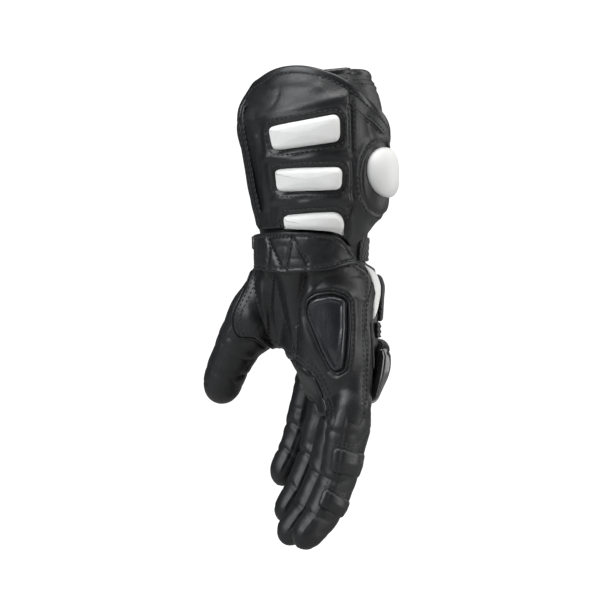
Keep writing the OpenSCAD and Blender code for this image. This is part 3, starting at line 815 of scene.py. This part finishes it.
def build_flap():
    panel = sheet("cuff_flap_leather", cuff_at, FLAP_T0, GUARD_T1, flap_bottom, flap_top, FLAP_LOW, FLAP_HIGH,
                  BLACK, radius=50, relief=panel_relief)
    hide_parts("flap_panel", "cuff_guard_panel")
    blended_flap(panel)
    clean = surface_target(cuff_at, FLAP_T0, GUARD_T1, flap_bottom, flap_top, FLAP_HIGH)

    # bound edge: up the free side, round the corner and along the top
    zs = np.arange(-94, -21, 1.5)
    side_t = np.full(len(zs), FLAP_T0)
    ts = np.arange(-94, GUARD_T1, 1.4)
    corner = [(-98.6, -19.5), (-98.2, -17.6), (-97.4, -15.9), (-96.1, -14.4)]
    top_route = np.stack([ts, flap_edge(ts)[:, 0] - BINDING_W / 2], -1)
    route = np.vstack([np.stack([side_t, zs], -1), corner, top_route])
    for _ in range(3):
        route[1:-1] = 0.5 * route[1:-1] + 0.25 * (route[:-2] + route[2:])
    path = cuff_at(route[:, 0], route[:, 1], 1.6)
    up = cuff_at(route[:, 0], route[:, 1], 8) - path
    a = circle(16)
    band = np.stack([2.9 * squared_off(np.cos(a), 0.7), 1.5 + 1.75 * squared_off(np.sin(a), 0.7)], -1)
    edge = sweep("flap_edge_binding", path, up, band, TRIM)
    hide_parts("flap_binding", "guard_binding")
    blended_flap(edge)

    def along_edge(distance, off):
        r = route.copy()
        along = unit(np.gradient(cuff_at(r[:, 0], r[:, 1], 4), axis=0))
        n = unit(up)
        side = unit(np.cross(along, n))
        return cuff_at(r[:, 0], r[:, 1], off) + side * distance, n

    p, n = along_edge(1.6, 4.75)
    runs = [(p, n)]
    welt_p, welt_n = along_edge(8.0, FLAP_HIGH)
    keep = slice(6, None)
    welt = sweep("flap_inner_welt", welt_p[keep], welt_n[keep], ring_profile(0.95, lift=0.25), TRIM)
    blended_flap(welt)
    for d in (6.2, 9.8):
        p, n = along_edge(d, FLAP_HIGH + 0.55)
        runs.append((p[keep], n[keep]))
    for outline in (bar_1, bar_2, bar_3):
        runs += clean.runs(inset_line(outline, -3.1), -1.15)
    runs += clean.runs(rounded(oval_ring, 1.0, 4, closed=False), -1.15)
    for t_off in (-2.2, 2.2):
        zz = np.linspace(-92, -18, 60)
        tt = HINGE_T + (zz + 60) * HINGE_LEAN + t_off
        p = cuff_at(tt, zz, FLAP_HIGH + 0.3)
        runs.append((p, unit(cuff_at(tt, zz, 8) - p)))
    thread = stitches("flap_stitching", runs, THREAD, length=2.3, gap=0.9, radius=0.34)
    blended_flap(thread)

    for name, outline, number in (("flap_bar_upper", bar_1, 31), ("flap_bar_middle", bar_2, 32),
                                  ("flap_bar_lower", bar_3, 33)):
        bar = pad(name.replace("flap", "white_flap"), outline, clean, 4.6, WHITE, rim=2.6, crown=0.12,
                  relief=lambda uv, s=number: 0.2 * noise(np.column_stack([uv, uv[:, 0] * 0 + s]), 9, s)
                  - 4.4 * step((-90 - uv[:, 1]) / 7) * (s == 33))
        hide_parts(name)
        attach(bar, "flap")
    dome = dome_on_cuff("wrist_bone_guard", 33, -61, 27.5, 14.8, 7.2)
    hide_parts("ulna_guard")
    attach(dome, "cuff")


# ---------------------------------------------------------------- wrist strap


STRAP_T0, STRAP_T1 = -125, 10
STRAP_LOW, STRAP_HIGH = 2.3, 4.5
TAB_T0, TAB_T1 = -135, -123.5


def strap_relief(t, z, p):
    edge = np.minimum(strap_top(t)[..., 0] - z, z - strap_bottom(t)[..., 0])
    groove = -0.55 * swell(edge - 2.6, 0.7)
    uv = to_uv(p)
    for line in strap_seams:
        groove = groove - 0.7 * swell(line_distance(uv, line), 0.9)
    return groove + 0.35 * noise(p, 8, 41) + 0.3 * wrinkles(p, 9, 42)


strap_seams = [
    [(-27, -98.5), (-12, -98.5)], [(-27.5, -98.5), (-26, -104.5), (-27, -117.5)], [(-27, -99), (-18.5, -118.5)],
    [(-12, -98.5), (-16.5, -118.5)], [(-11.5, -99), (-2.5, -114.5)]]


def blended_strap(o):
    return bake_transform(o)


def build_strap():
    strap = sheet("wrist_strap_leather", cuff_at, STRAP_T0, STRAP_T1, lambda t: strap_bottom(t)[:, 0],
                  lambda t: strap_top(t)[:, 0], STRAP_LOW, STRAP_HIGH, SIDE, radius=40,
                  spacing=0.8, relief=strap_relief)
    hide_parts("wrist_strap")
    blended_strap(strap)
    clean = surface_target(cuff_at, STRAP_T0, STRAP_T1, lambda t: strap_bottom(t)[:, 0],
                           lambda t: strap_top(t)[:, 0], STRAP_HIGH)
    runs = []
    t = np.arange(-122, 7, 1.0)
    for z in (strap_top(t)[:, 0] - 2.6, strap_bottom(t)[:, 0] + 2.6):
        p = cuff_at(t, z, STRAP_HIGH - 0.25)
        runs.append((p, unit(cuff_at(t, z, 9) - p)))
    for line in strap_seams:
        runs += clean.runs(rounded(line, 1.0, 2, closed=False), 0.3)
    thread = stitches("strap_stitching", runs, THREAD, length=2.0, gap=0.9, radius=0.32)
    blended_strap(thread)
    tab = sheet("strap_pull_tab_moulded", cuff_at, TAB_T0, TAB_T1, lambda t: -106.0 + 0.14 * (TAB_T1 - t),
                lambda t: -97.0 - 0.10 * (TAB_T1 - t), 2.2, 5.2, TAB, radius=38, spacing=0.7,
                relief=lambda t, z, p: 0.45 * np.sin((t + 123) * 2.4))
    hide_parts("strap_pull_tab")
    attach(tab, "strap")


# ---------------------------------------------------------------- hand

finger_rim = smooth_table([(-46, -187), (-34, -187.5), (-23, -190), (-14, -199), (-2, -201),
                          (8, -208), (18, -210),
                           (27, -212), (46, -213)])
FINGERS = {
    "index": dict(root=(-34, 20, -190), length=(29, 18, 11), bend=(13, 21, 29),
                  width=10.8, back=11.0, palm=11.6),
    "middle": dict(root=(-11.5, 18, -202), length=(33, 23, 13), bend=(14, 25, 36),
                   width=10.9, back=11.2, palm=11.8),
    "ring": dict(root=(11, 13, -211), length=(33, 25, 15), bend=(16, 28, 42),
                 width=10.9, back=11.2, palm=11.8),
    "little": dict(root=(34.4, 6.2, -214), length=(31, 25, 13), bend=(12, 28, 44),
                   width=10.6, back=12.0, palm=15.2),
}
SPLAY = math.radians(-4)
SEGMENTS = ("proximal", "middle", "distal")
THUMB = np.array([(-24, -4, -116), (-29, -5, -130), (-40, -14, -147), (-49, -22.5, -161), (-60, -26.3, -178.5),
                  (-67.5, -27, -191)], float)

heel_edge = [(-34, -112), (-40, -128), (-48, -144.5), (-48.5, -151.5), (-47, -158),
             (-42, -159.5), (-35.5, -159.5),
             (-29.5, -163.5), (-20, -169), (-10, -174.5), (0.5, -182), (5.5, -192), (9.5, -203), (8, -213),
             (2, -226.5)]
side_edge = [(23, -106), (27, -112), (37, -118.5), (39, -124), (38, -130.5), (35.5, -142.5), (35.5, -155),
             (36.5, -171.5), (36, -182.5), (35.5, -196.5), (34, -212)]
heel_patch = heel_edge + side_edge[::-1]
quilt_lines = [
    [(-35, -118.5), (-35.5, -129.5), (-32.5, -141), (-28, -154.5), (-26.5, -160.5)],
    [(-23.5, -121), (-25.5, -139.5), (-26, -154.5), (-25.5, -162)],
    [(-22, -124.5), (-18, -142.5), (-13, -160.5), (-10, -168.5)],
    [(-5, -122), (-8, -138), (-9, -154.5), (-9.5, -172)]]
palm_fold = [(-10, -191.5), (-2.5, -198.5), (-2.5, -203.5), (2, -217), (2, -226.5)]
slider_outline = [(-2, -141), (-0.5, -137), (3.5, -134.5), (12, -133.5), (18.5, -135.5),
                  (21, -138.5), (21.5, -154.5),
                  (20.5, -171), (19.5, -178.5), (16, -180.5), (13, -178), (7, -167), (2, -154.5), (-1.5, -146)]


def blob(p, centres, radii, blend):
    """Smooth union of balls strung along a chain."""
    total = None
    centres, radii = np.asarray(centres, float), np.asarray(radii, float)
    for a, b, ra, rb in zip(centres[:-1], centres[1:], radii[:-1], radii[1:]):
        d = b - a
        s = np.clip(((p - a) @ d) / (d @ d), 0, 1)
        dist = np.linalg.norm(p - a - s[..., None] * d, axis=-1) - (ra + (rb - ra) * s)
        total = dist if total is None else soft_min(total, dist, blend)
    return total


def soft_min(a, b, k):
    h = np.clip(0.5 + 0.5 * (b - a) / k, 0, 1)
    return b + (a - b) * h - k * h * (1 - h)


def finger_points(f):
    p = [np.array(f["root"], float)]
    for length, bend in zip(f["length"], f["bend"]):
        b = math.radians(bend)
        along = np.array([math.cos(b) * math.sin(SPLAY), -math.sin(b), -math.cos(b) * math.cos(SPLAY)])
        p.append(p[-1] + length * along)
    return np.array(p)


def hand_field(p):
    r = hand_rows(p[..., 2])
    turn = np.radians(r[..., 3])
    x, y = p[..., 0], p[..., 1] - r[..., 0]
    x, y = x * np.cos(turn) + y * np.sin(turn), -x * np.sin(turn) + y * np.cos(turn)
    a, b = r[..., 1], r[..., 2]
    k = np.sqrt((x / a) ** 2 + (y / b) ** 2) + 1e-6
    d = k * (k - 1) / np.maximum(np.sqrt((x / a ** 2) ** 2 + (y / b ** 2) ** 2), 1e-6)
    cut = finger_rim(p[..., 0])[..., 0] - p[..., 2]
    d = -soft_min(-d, -cut, 7)
    d = soft_min(d, blob(p, THUMB[:4], [15, 20.5, 19, 15.4], 6), 9)
    for name, f in FINGERS.items():
        pts = finger_points(f)
        down = unit(pts[1] - pts[0])
        stub = np.array([pts[0] - down * 14, pts[0] - down * 4.0])
        wide = np.array([1.0, 0.93, 1.0]) if name != "little" else np.array([1.0, 0.86, 1.0])
        q = (p - pts[0]) * wide + pts[0] - (np.array([0, -1.6, 0]) if name == "little" else 0)
        d = soft_min(d, blob(q, stub, [f["width"] - 1.6] * 2, 3), 5)
    top = p[..., 2] + 99
    return -soft_min(-d, -top, 1)


def field_mesh(name, field, low, high, cell, material, smoothing=2):
    axes = [np.arange(a, b, cell) for a, b in zip(low, high)]
    values = np.empty([len(a) for a in axes], np.float32)
    for i, x in enumerate(axes[0]):
        yy, zz = np.meshgrid(axes[1], axes[2], indexing="ij")
        values[i] = field(np.stack([np.full(yy.shape, x), yy, zz], -1))
    grid = openvdb.FloatGrid(background=20.0)
    grid.copyFromArray(np.clip(values, -20, 20))
    points, quads = grid.convertToQuads(isovalue=0.0)
    verts = points * cell + np.array(low)
    o = make_object(name, verts, [tuple(int(i) for i in q) for q in quads], material)
    weld(o, 0.00001)
    outward(o)
    smooth_mesh(o, smoothing)
    return o


def mesh_arrays(o):
    co = np.empty(len(o.data.vertices) * 3)
    o.data.vertices.foreach_get("co", co)
    n = np.empty(len(o.data.vertices) * 3)
    o.data.vertices.foreach_get("normal", n)
    return co.reshape(-1, 3) / MM, n.reshape(-1, 3)


def set_points(o, points):
    o.data.vertices.foreach_set("co", (points * MM).astype(np.float32).ravel())
    o.data.update()


def smooth_mesh(o, passes):
    co, _ = mesh_arrays(o)
    edges = np.empty(len(o.data.edges) * 2, int)
    o.data.edges.foreach_get("vertices", edges)
    edges = edges.reshape(-1, 2)
    degree = np.bincount(edges.ravel(), minlength=len(co))[:, None]
    for k in range(passes * 2):
        total = np.zeros_like(co)
        np.add.at(total, edges[:, 0], co[edges[:, 1]])
        np.add.at(total, edges[:, 1], co[edges[:, 0]])
        co = co + (0.5 if k % 2 == 0 else -0.52) * (total / np.maximum(degree, 1) - co)
    set_points(o, co)


def hand_relief(p, n):
    uv = to_uv(p)
    facing = step((n @ TOWARDS + 0.05) / 0.25)
    d = depth_inside(uv, heel_patch)
    raised = 1.5 * step((d + 0.7) / 1.4) * facing
    quilt = np.full(len(p), 1e9)
    for line in quilt_lines:
        quilt = np.minimum(quilt, line_distance(uv, line))
    near = step((34 - quilt) / 8) * step((d + 1) / 4) * step((7 - uv[:, 0]) / 10)
    puff = near * (2.8 * (1 - swell(quilt, 4.2)) - 1.2 - 0.6 * swell(quilt, 0.9))
    puff -= 1.5 * swell(line_distance(uv, [(-5, -120), (-8, -138), (-9, -152)]), 1.6)
    fold = -2.2 * swell(line_distance(uv, palm_fold), 1.8)
    under = -1.2 * swell(d + 1.3, 1.3)
    back = np.clip(-(n @ TOWARDS) * 2, 0, 1)
    seam_back = -0.9 * swell(p[:, 0] + 22 + 0.05 * (p[:, 2] + 160), 1.2) * back
    ring = depth_inside(uv, slider_outline)
    puff = puff + 1.1 * swell(ring + 4.2, 2.2) - 0.9 * swell(ring + 1.2, 1.0)
    edges = -0.6 * swell(line_distance(uv, side_edge) - 3.3, 0.8)
    edges += 0.9 * swell(line_distance(uv, side_edge), 1.0)
    soft = 0.8 * noise(p, 23, 51) + 0.3 * noise(p, 10, 52) + 0.55 * wrinkles(p, 19, 53)
    return raised + facing * (puff + fold + under + edges) + seam_back + soft


KNUCKLE_DOMES = ((52, 2.6), (76, 2.2), (101, 2.2), (126, 2.0))  # angle and height
KNUCKLE_GROOVES = (64, 88.5, 113.5)


def blended_hand(o):
    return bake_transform(o)


def build_hand():
    skin = field_mesh("hand_leather", hand_field, (-80, -50, -230), (54, 52, -94), 0.85, BLACK)
    co, n = mesh_arrays(skin)
    polygons = [tuple(q.vertices) for q in skin.data.polygons]
    smooth = Target(co, polygons)
    set_points(skin, co + n * hand_relief(co, n)[:, None])
    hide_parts("palm_panel", "side_panel", "back_panel", "hand_lining", "thumb_base", "wrist_gusset")
    co, n = mesh_arrays(skin)
    target = Target(co, polygons)
    runs = []
    patch = rounded(heel_edge, 1.0, 4, closed=False)
    edge = rounded(side_edge, 1.0, 4, closed=False)
    for line, insets in ((patch, (1.8, 4.2)), (edge, (-2.2, -4.6))):
        for inset in insets:
            runs += target.runs(inset_line(line, inset, closed=False))
    for line in quilt_lines:
        runs += target.runs(rounded(line, 1.0, 3, closed=False))
    by_slider = [(12, -130), (20, -132), (25, -137), (25.5, -155), (24.5, -172), (23, -178)]
    runs += target.runs(inset_line(by_slider, 0, closed=False))
    thread = stitches("hand_stitching", runs, THREAD, length=2.1, gap=0.9, radius=0.33, lift=0.15)

    slider = pad("palm_slider_shell", slider_outline, smooth, 4.6, SLIDER, rim=1.6, crown=0.1, relief=lambda uv:
                 0.9 * swell(depth_inside(uv, slider_outline) - 2.4, 1.0))
    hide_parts("palm_slider", "slider_foam")
    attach(slider, "hand")
    p, nn = target.seen(inset_line(slider_outline, -1.5))
    welt = sweep("slider_welt", p, nn, ring_profile(1.0, lift=0.5), TRIM, closed=True)
    pipes = []
    side_pipe = [(36, -150), (37.2, -171.5), (37, -203.5)]
    for k, line in enumerate((inset_line(patch, -0.2, closed=False), side_pipe)):
        for part, (p, nn) in enumerate(target.runs(rounded(line, 1.0, 2, closed=False))):
            pipe = sweep(f"hand_piping_{k}_{part}", p, nn, ring_profile(0.75, lift=0.2), TRIM)
            blended_hand(pipe)
    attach(welt, "hand")
    blended_hand(skin)
    blended_hand(thread)

    def guard_relief(t, z, p):
        out = np.zeros(t.shape)
        for centre, height in KNUCKLE_DOMES:
            along = (t - centre) / 9.5
            out += height * np.exp(-(along ** 2)) * swell(z + 179, 12)
        for centre in KNUCKLE_GROOVES:
            out -= 1.6 * swell(t - centre, 1.7) * step((z + 200) / 6) * step((-163 - z) / 6)
        return out - 0.8 * swell(z + 168, 1.2)

    guard = sheet("knuckle_guard_shell", hand_at, 34, 147,
                  lambda t: np.maximum(-199 + 0 * t, -201 + 0.16 * np.abs(t - 60)),
                  lambda t: -160 - 0.002 * (t - 90) ** 2, -0.6, 6.6, SHELL, radius=38, spacing=1.0, rim=4.5,
                  relief=guard_relief)
    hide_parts("knuckle_guard", "knuckle_foam")
    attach(guard, "hand")
    back = sheet("back_pad_perforated", hand_at, 47, 133, lambda t: t * 0 - 149.6, lambda t: t * 0 - 121,
                 -0.6, 2.6,
                 HOLED, radius=36, rim=2.2, relief=lambda t, z, p: 0.6 * np.cos((t - 90) / 29 * 1.4))
    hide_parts("back_pad")
    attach(back, "hand")
    ribs = sheet("accordion_leather", hand_at, 36, 144, lambda t: t * 0 - 159.4, lambda t: t * 0 - 150.2,
                 -0.6, 1.4,
                 FINGER, radius=38, spacing=0.6, rim=0.9, relief=lambda t, z, p: 0.4 * np.cos((z + 159) * 1.96))
    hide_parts("accordion_panel")
    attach(ribs, "hand")
    for name, t0, t1 in (("stripe_outer", 24, 39), ("stripe_inner", 141, 156)):
        if name == "stripe_outer":
            near = lambda t: np.clip((t - 24) / 18, 0, 1)
        else:
            near = lambda t: np.clip((156 - t) / 18, 0, 1)
        stripe = sheet("white_" + name, hand_at, t0, t1, lambda t: -148 + 21 * near(t) ** 1.5,
                       lambda t: -115 - 7 * near(t) ** 1.5, -0.8, 2.2, WHITE, radius=36, spacing=0.8, rim=1.4)
        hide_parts(name)
        blended_hand(stripe)


# ---------------------------------------------------------------- fingers and thumb


STALL_SEAMS = (38, 142, -40, -140)
STALL_POWER = 2.25  # 2 is a round stall, more is squarer


def centre_line(points, spacing=0.9, radius=7.0):
    """The bone line with its joints rounded into curves."""
    p = resample(points, 0.5)
    k = int(radius / 0.5)
    padded_line = np.vstack([p[0] + (p[0] - p[1]) * np.arange(k, 0, -1)[:, None], p,
                             p[-1] + (p[-1] - p[-2]) * np.arange(1, k + 1)[:, None]])
    window = np.hanning(2 * k + 1)
    window /= window.sum()
    p = np.stack([np.convolve(padded_line[:, i], window, "valid") for i in range(3)], -1)
    return resample(p, spacing)


def tube(name, points, start_back, x_axis, section, cuts, bodies, tip, material, seed, creases, sides=72):
    """A leather stall as one skin, cut across its segments into pieces that each hold one joint."""
    first = unit(points[1] - points[0])
    line = centre_line(np.vstack([points[0] - first * start_back, points]))
    end = line[-1]
    direction = unit(line[-1] - line[-2])
    tip_line = end + direction * np.linspace(0, tip, 14)[1:, None]
    line = np.vstack([line, tip_line])
    s = arc_length(line) - start_back
    z = -unit(np.gradient(line, axis=0))
    x = unit(x_axis - z * (z @ x_axis)[:, None])
    y = np.cross(z, x)
    a = circle(sides)
    width, back, palm = section(s)
    cap = np.clip(1 - np.clip((s - (s[-1] - tip - 3)) / (tip + 3), 0, 1) ** 2.2, 0.0, 1) ** 0.56
    cap = np.maximum(cap, 0.03)
    ca, sa = squared_off(np.cos(a), 2 / STALL_POWER), squared_off(np.sin(a), 2 / STALL_POWER)
    depth = np.where(sa[None] > 0, back[:, None], palm[:, None])
    p = line[:, None] + x[:, None] * (width * cap)[:, None, None] * ca[None, :, None]
    p = p + y[:, None] * ((depth * cap[:, None]) * sa[None])[..., None]
    n = grid_normals(p)
    relief = 0.5 * noise(p, 13, seed) + 0.15 * noise(p, 5, seed + 1) + 0.4 * wrinkles(p, 13, seed + 2)
    ss = np.broadcast_to(s[:, None], relief.shape)
    palm_side = step((-np.sin(a)[None] + 0.15) / 0.6)
    for place, deep in creases:
        bent = ss - place + 2.2 * np.sin(a * 2 + seed)[None] + 1.2 * noise(p, 7, seed + 4)
        relief -= 0.3 * deep * swell(bent, 1.4) * palm_side
        relief += 0.2 * deep * swell(np.abs(bent) - 4.0, 2.4) * palm_side
    for angle in [math.radians(seam) for seam in STALL_SEAMS]:
        turn = (a - angle + math.pi) % (2 * math.pi) - math.pi
        ridge = 0.3 * swell(turn * 11, 1.2) - 0.35 * swell(turn * 11 - 1.8, 0.7)
        relief = relief + ridge[None] * step((s[-1] - tip * 0.4 - ss) / 5)
    p = p + n * (relief * np.minimum(cap, 1)[:, None] ** 0.5)[..., None]
    n = grid_normals(p)
    edges = [0] + [int(np.argmin(np.abs(s - c))) for c in cuts] + [len(s) - 1]
    made = []
    for k in range(len(edges) - 1):
        rows = slice(edges[k], edges[k + 1] + 1)
        verts, normals = p[rows].reshape(-1, 3), n[rows].reshape(-1, 3)
        count = edges[k + 1] - edges[k] + 1
        faces = grid_faces(count, sides, wrap_v=True)
        q = np.array(faces[len(faces) // 2])
        turn = np.cross(verts[q[2]] - verts[q[0]], verts[q[3]] - verts[q[1]]) @ normals[q[0]]
        if turn < 0:
            faces = [q[::-1] for q in faces]
        if k == len(edges) - 2:
            verts = np.vstack([verts, p[-1].mean(0) - z[-1] * 0.1])
            normals = np.vstack([normals, -z[-1]])
            last = (count - 1) * sides
            fan = [(last + (j + 1) % sides, last + j, len(verts) - 1) for j in range(sides)]
            faces += fan if turn < 0 else [q[::-1] for q in fan]
        made.append(make_object(f"{name}_{bodies[k][2]}", verts, faces, material, normals=normals))
    return made, (s, p, n, a)


def grid_normals(p):
    along = np.gradient(p, axis=0)
    around = np.roll(p, -1, 1) - np.roll(p, 1, 1)
    n = unit(np.cross(around, along))
    centre = p.mean(1, keepdims=True)
    flip = np.sign(np.sum(n * (p - centre), -1).mean())
    return n * flip


def band_on_tube(name, info, s0, s1, a0, a1, low, high, material, rim=1.4, crown=0.6):
    """A padded patch on a stall between two places along it and two angles round it."""
    s, p, n, a = info
    rows = np.linspace(s0, s1, int((s1 - s0) / 0.7) + 2)
    angles = np.radians(np.linspace(a0, a1, int((a1 - a0) / 4) + 2))
    fi = np.interp(rows, s, np.arange(len(s)))
    fa = (angles % (2 * math.pi)) / (2 * math.pi) * len(a)

    def sample(grid):
        i0 = np.floor(fi).astype(int)
        i1 = np.minimum(i0 + 1, len(s) - 1)
        j0 = np.floor(fa).astype(int) % len(a)
        j1 = (j0 + 1) % len(a)
        wi, wj = (fi - i0)[:, None, None], (fa - np.floor(fa))[None, :, None]
        g = grid[i0][:, j0] * (1 - wi) * (1 - wj) + grid[i1][:, j0] * wi * (1 - wj)
        return g + grid[i0][:, j1] * (1 - wi) * wj + grid[i1][:, j1] * wi * wj

    base, nn = sample(p), unit(sample(n))
    r = 11.5
    du = np.minimum(rows - s0, s1 - rows)[:, None]
    dv = np.minimum(angles - angles[0], angles[-1] - angles)[None] * r
    d = 3.6 - np.hypot(np.maximum(3.6 - du, 0), np.maximum(3.6 - dv, 0))
    d = np.maximum(d, 0)
    lift = bulge(d, rim)
    extra = crown * np.clip(np.minimum(du / ((s1 - s0) / 2), 1), 0, 1) * np.clip(dv / 5, 0, 1)
    outer = base + nn * (low + (high - low) * lift + extra)[..., None]
    return two_sided(name, outer, base + nn * low, material)


# part, the bone length that its places are for, then its near and far ends, each with a step back
FINGER_PADS = (("knuckle_pad", 31, 13.5, 2, 28.0, 1), ("joint_pad", 25, 11.0, 3, 22.0, 2))


def build_finger(name, f, seed):
    pts = finger_points(f)
    lengths = f["length"]
    joints = [0, lengths[0], lengths[0] + lengths[1]]
    cuts = [lengths[0] * 0.5, lengths[0] + lengths[1] * 0.5]
    total = sum(lengths)

    def section(s):
        share = np.clip(s / total, 0, 1)
        width = f["width"] + (9.2 - f["width"]) * share
        back = f["back"] + (9.0 - f["back"]) * share
        palm = f["palm"] + (9.4 - f["palm"]) * share ** 0.8
        for j in joints[1:]:
            width = width + 0.2 * swell(s - j, 7)
            palm = palm - 0.15 * swell(s - j, 4)
        palm = palm + 0.5 * swell(s - joints[1] * 0.5, 7)
        shrink = 1 - 0.3 * np.clip(-s / 16, 0, 1) ** 1.5
        return width * shrink, back * shrink, palm * shrink

    bodies = [("hand", f"{name}_proximal", "root_skin"), (f"{name}_proximal", f"{name}_middle", "middle_skin"),
              (f"{name}_middle", f"{name}_distal", "tip_skin")]
    x_axis = np.array([math.cos(SPLAY), 0, -math.sin(SPLAY)])
    made, info = tube(name, pts, 16, x_axis, section, cuts, bodies, 9.2, FINGER, seed,
                      [(joints[0] + 1, 1.2), (joints[1], 1.6), (joints[2], 1.4)])
    for k, (o, (parent, child, _)) in enumerate(zip(made, bodies)):
        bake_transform(o)
        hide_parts(f"{name}_{SEGMENTS[k]}")
    facing, half = (-2, 64) if name == "little" else (90, 66)
    first, last = facing - half * 0.9, facing + half * 0.9
    s, grid, normals, a = info
    for k, (part, full_length, near, near_back, far, far_back) in enumerate(FINGER_PADS):
        scale = lengths[k] / full_length
        start, end = joints[k] + near * scale - near_back, joints[k] + far * scale - far_back
        p = band_on_tube(f"{name}_{part}_leather", info, start, end, first, last, -0.9,
                         1.3, SIDE, rim=2.4, crown=0.9)
        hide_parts(f"{name}_{part}")
        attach(p, f"{name}_{SEGMENTS[k]}")
        rows = []
        angles = np.radians(np.arange(first, last, 5)) % (2 * math.pi)
        j = (angles / (2 * math.pi) * len(a)).astype(int) % len(a)
        for back in (1.2, 3.2):
            i = int(np.argmin(np.abs(s - (start - back))))
            rows.append((grid[i, j], normals[i, j]))
        thread = stitches(f"{name}_{part}_stitching", rows, THREAD, length=1.7, gap=0.8, radius=0.32)
        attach(thread, f"{name}_{SEGMENTS[k]}")


def build_thumb():
    pts = THUMB[3:]
    lengths = np.linalg.norm(np.diff(pts, axis=0), axis=1)
    axis = unit(np.array([0.25, 0.84, -0.3]))

    def section(s):
        rows = smooth_table([(-14, 14.2, 13.6, 14.0), (-4, 14.9, 14.3, 14.6), (6, 14.2, 13.7, 14.3),
                             (14, 13.3, 12.8, 13.6), (21, 12.9, 12.2, 13.3), (30, 12.6, 11.6, 12.6),
                             (36, 12.2, 11.0, 12.0), (48, 11.6, 10.4, 11.6)])(s)
        return rows[:, 0], rows[:, 1], rows[:, 2]

    bodies = [("hand", "thumb_proximal", "root_skin"), ("thumb_proximal", "thumb_distal", "tip_skin")]
    made, info = tube("thumb", pts, 13, axis, section, [lengths[0] * 0.5], bodies, 12.0, FINGER, 91,
                      [(0, 0.9), (lengths[0], 1.5)])
    for k, (o, (parent, child, _)) in enumerate(zip(made, bodies)):
        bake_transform(o)
        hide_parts(("thumb_proximal", "thumb_distal")[k])
    p = band_on_tube("thumb_pad_leather", info, 3, 15, 42, 138, -0.4, 2.2, SIDE)
    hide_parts("thumb_pad")
    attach(p, "thumb_proximal")


# ---------------------------------------------------------------- assembly

build_cuff()
build_flap()
build_strap()
build_hand()
build_thumb()
for number, (finger_name, finger) in enumerate(FINGERS.items()):
    build_finger(finger_name, finger, 61 + 7 * number)

for node_name in ("cuff_loop_patch", "strap_loop_patch", "flap_hook_patch", "strap_hook_patch"):
    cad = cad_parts[node_name]
    cad.data.materials.clear()
    cad.data.materials.append(HOOK)

# ---------------------------------------------------------------- stage, lights and camera


def build_stage():
    """A pale floor that turns up into a wall behind the glove."""
    z0, back, curve = -360.0, 2000.0, 500
    profile = [(-1900, z0), (back - curve, z0)]
    profile += [(back - curve + curve * math.sin(a), z0 + curve - curve * math.cos(a))
                for a in np.radians(range(6, 91, 6))]
    profile += [(back, z0 + 2200)]
    rows = []
    for away, z in profile:
        rows.append([-TOWARDS * away + RIGHT * side + np.array([0, 0, z]) for side in (-2400, 2400)])
    rows = np.array(rows)
    m, tree, bsdf = new_material("pale_floor")
    soft = node(tree, "ShaderNodeTexNoise", Scale=3.0, Detail=3.0)
    tree.links.new(coordinates(tree), soft.inputs["Vector"])
    tree.links.new(colour_mix(tree, soft.outputs["Fac"], (0.44, 0.44, 0.44), (0.48, 0.48, 0.48)),
                   bsdf.inputs["Base Color"])
    bsdf.inputs["Roughness"].default_value = 0.9
    bsdf.inputs["Emission Color"].default_value = (1, 1, 1, 1)
    seen = node(tree, "ShaderNodeLightPath")
    tree.links.new(remap(tree, seen.outputs["Is Camera Ray"], 0.0, 0.95), bsdf.inputs["Emission Strength"])
    floor = make_object("studio_floor", rows.reshape(-1, 3), grid_faces(len(rows), 2), m)


def area_light(name, right, up, towards, size, power, colour=(1, 1, 1)):
    data = bpy.data.lights.new(name, "AREA")
    data.shape = "RECTANGLE"
    data.size, data.size_y = size
    data.energy = power
    data.color = colour
    o = bpy.data.objects.new(name, data)
    centre = np.array([0, 0, EYE_V])
    place = centre + RIGHT * right + TOWARDS * towards + np.array([0, 0, up])
    o.location = Vector(place * MM)
    o.rotation_mode = "QUATERNION"
    o.rotation_quaternion = Vector((centre - place) * MM).to_track_quat("-Z", "Y")
    bpy.context.scene.collection.objects.link(o)


def build_lights():
    world = bpy.data.worlds.new("studio")
    world.use_nodes = True
    background = world.node_tree.nodes["Background"]
    background.inputs["Color"].default_value = (1, 1, 1, 1)
    seen = node(world.node_tree, "ShaderNodeLightPath")
    world.node_tree.links.new(remap(world.node_tree, seen.outputs["Is Camera Ray"], 0.05, 1.0),
                              background.inputs["Strength"])
    bpy.context.scene.world = world
    area_light("key_softbox", -820, 560, 520, (0.7, 0.9), 12, (0.96, 0.98, 1.0))
    area_light("fill_softbox", 880, 120, 480, (0.4, 1.1), 6.5)
    area_light("top_softbox", 100, 1000, 260, (0.9, 0.4), 9)
    area_light("rim_softbox", 750, 250, -450, (0.4, 1.2), 2.5)


def build_camera():
    data = bpy.data.cameras.new("camera")
    data.sensor_width = 36
    data.lens = 36 * EYE_DISTANCE / FIELD
    cam = bpy.data.objects.new("camera", data)
    cam.location = Vector(EYE * MM)
    cam.rotation_mode = "QUATERNION"
    cam.rotation_quaternion = Vector(-TOWARDS).to_track_quat("-Z", "Y")
    bpy.context.scene.collection.objects.link(cam)
    bpy.context.scene.camera = cam


build_stage()
build_lights()
build_camera()
bpy.context.scene.view_settings.view_transform = "Standard"
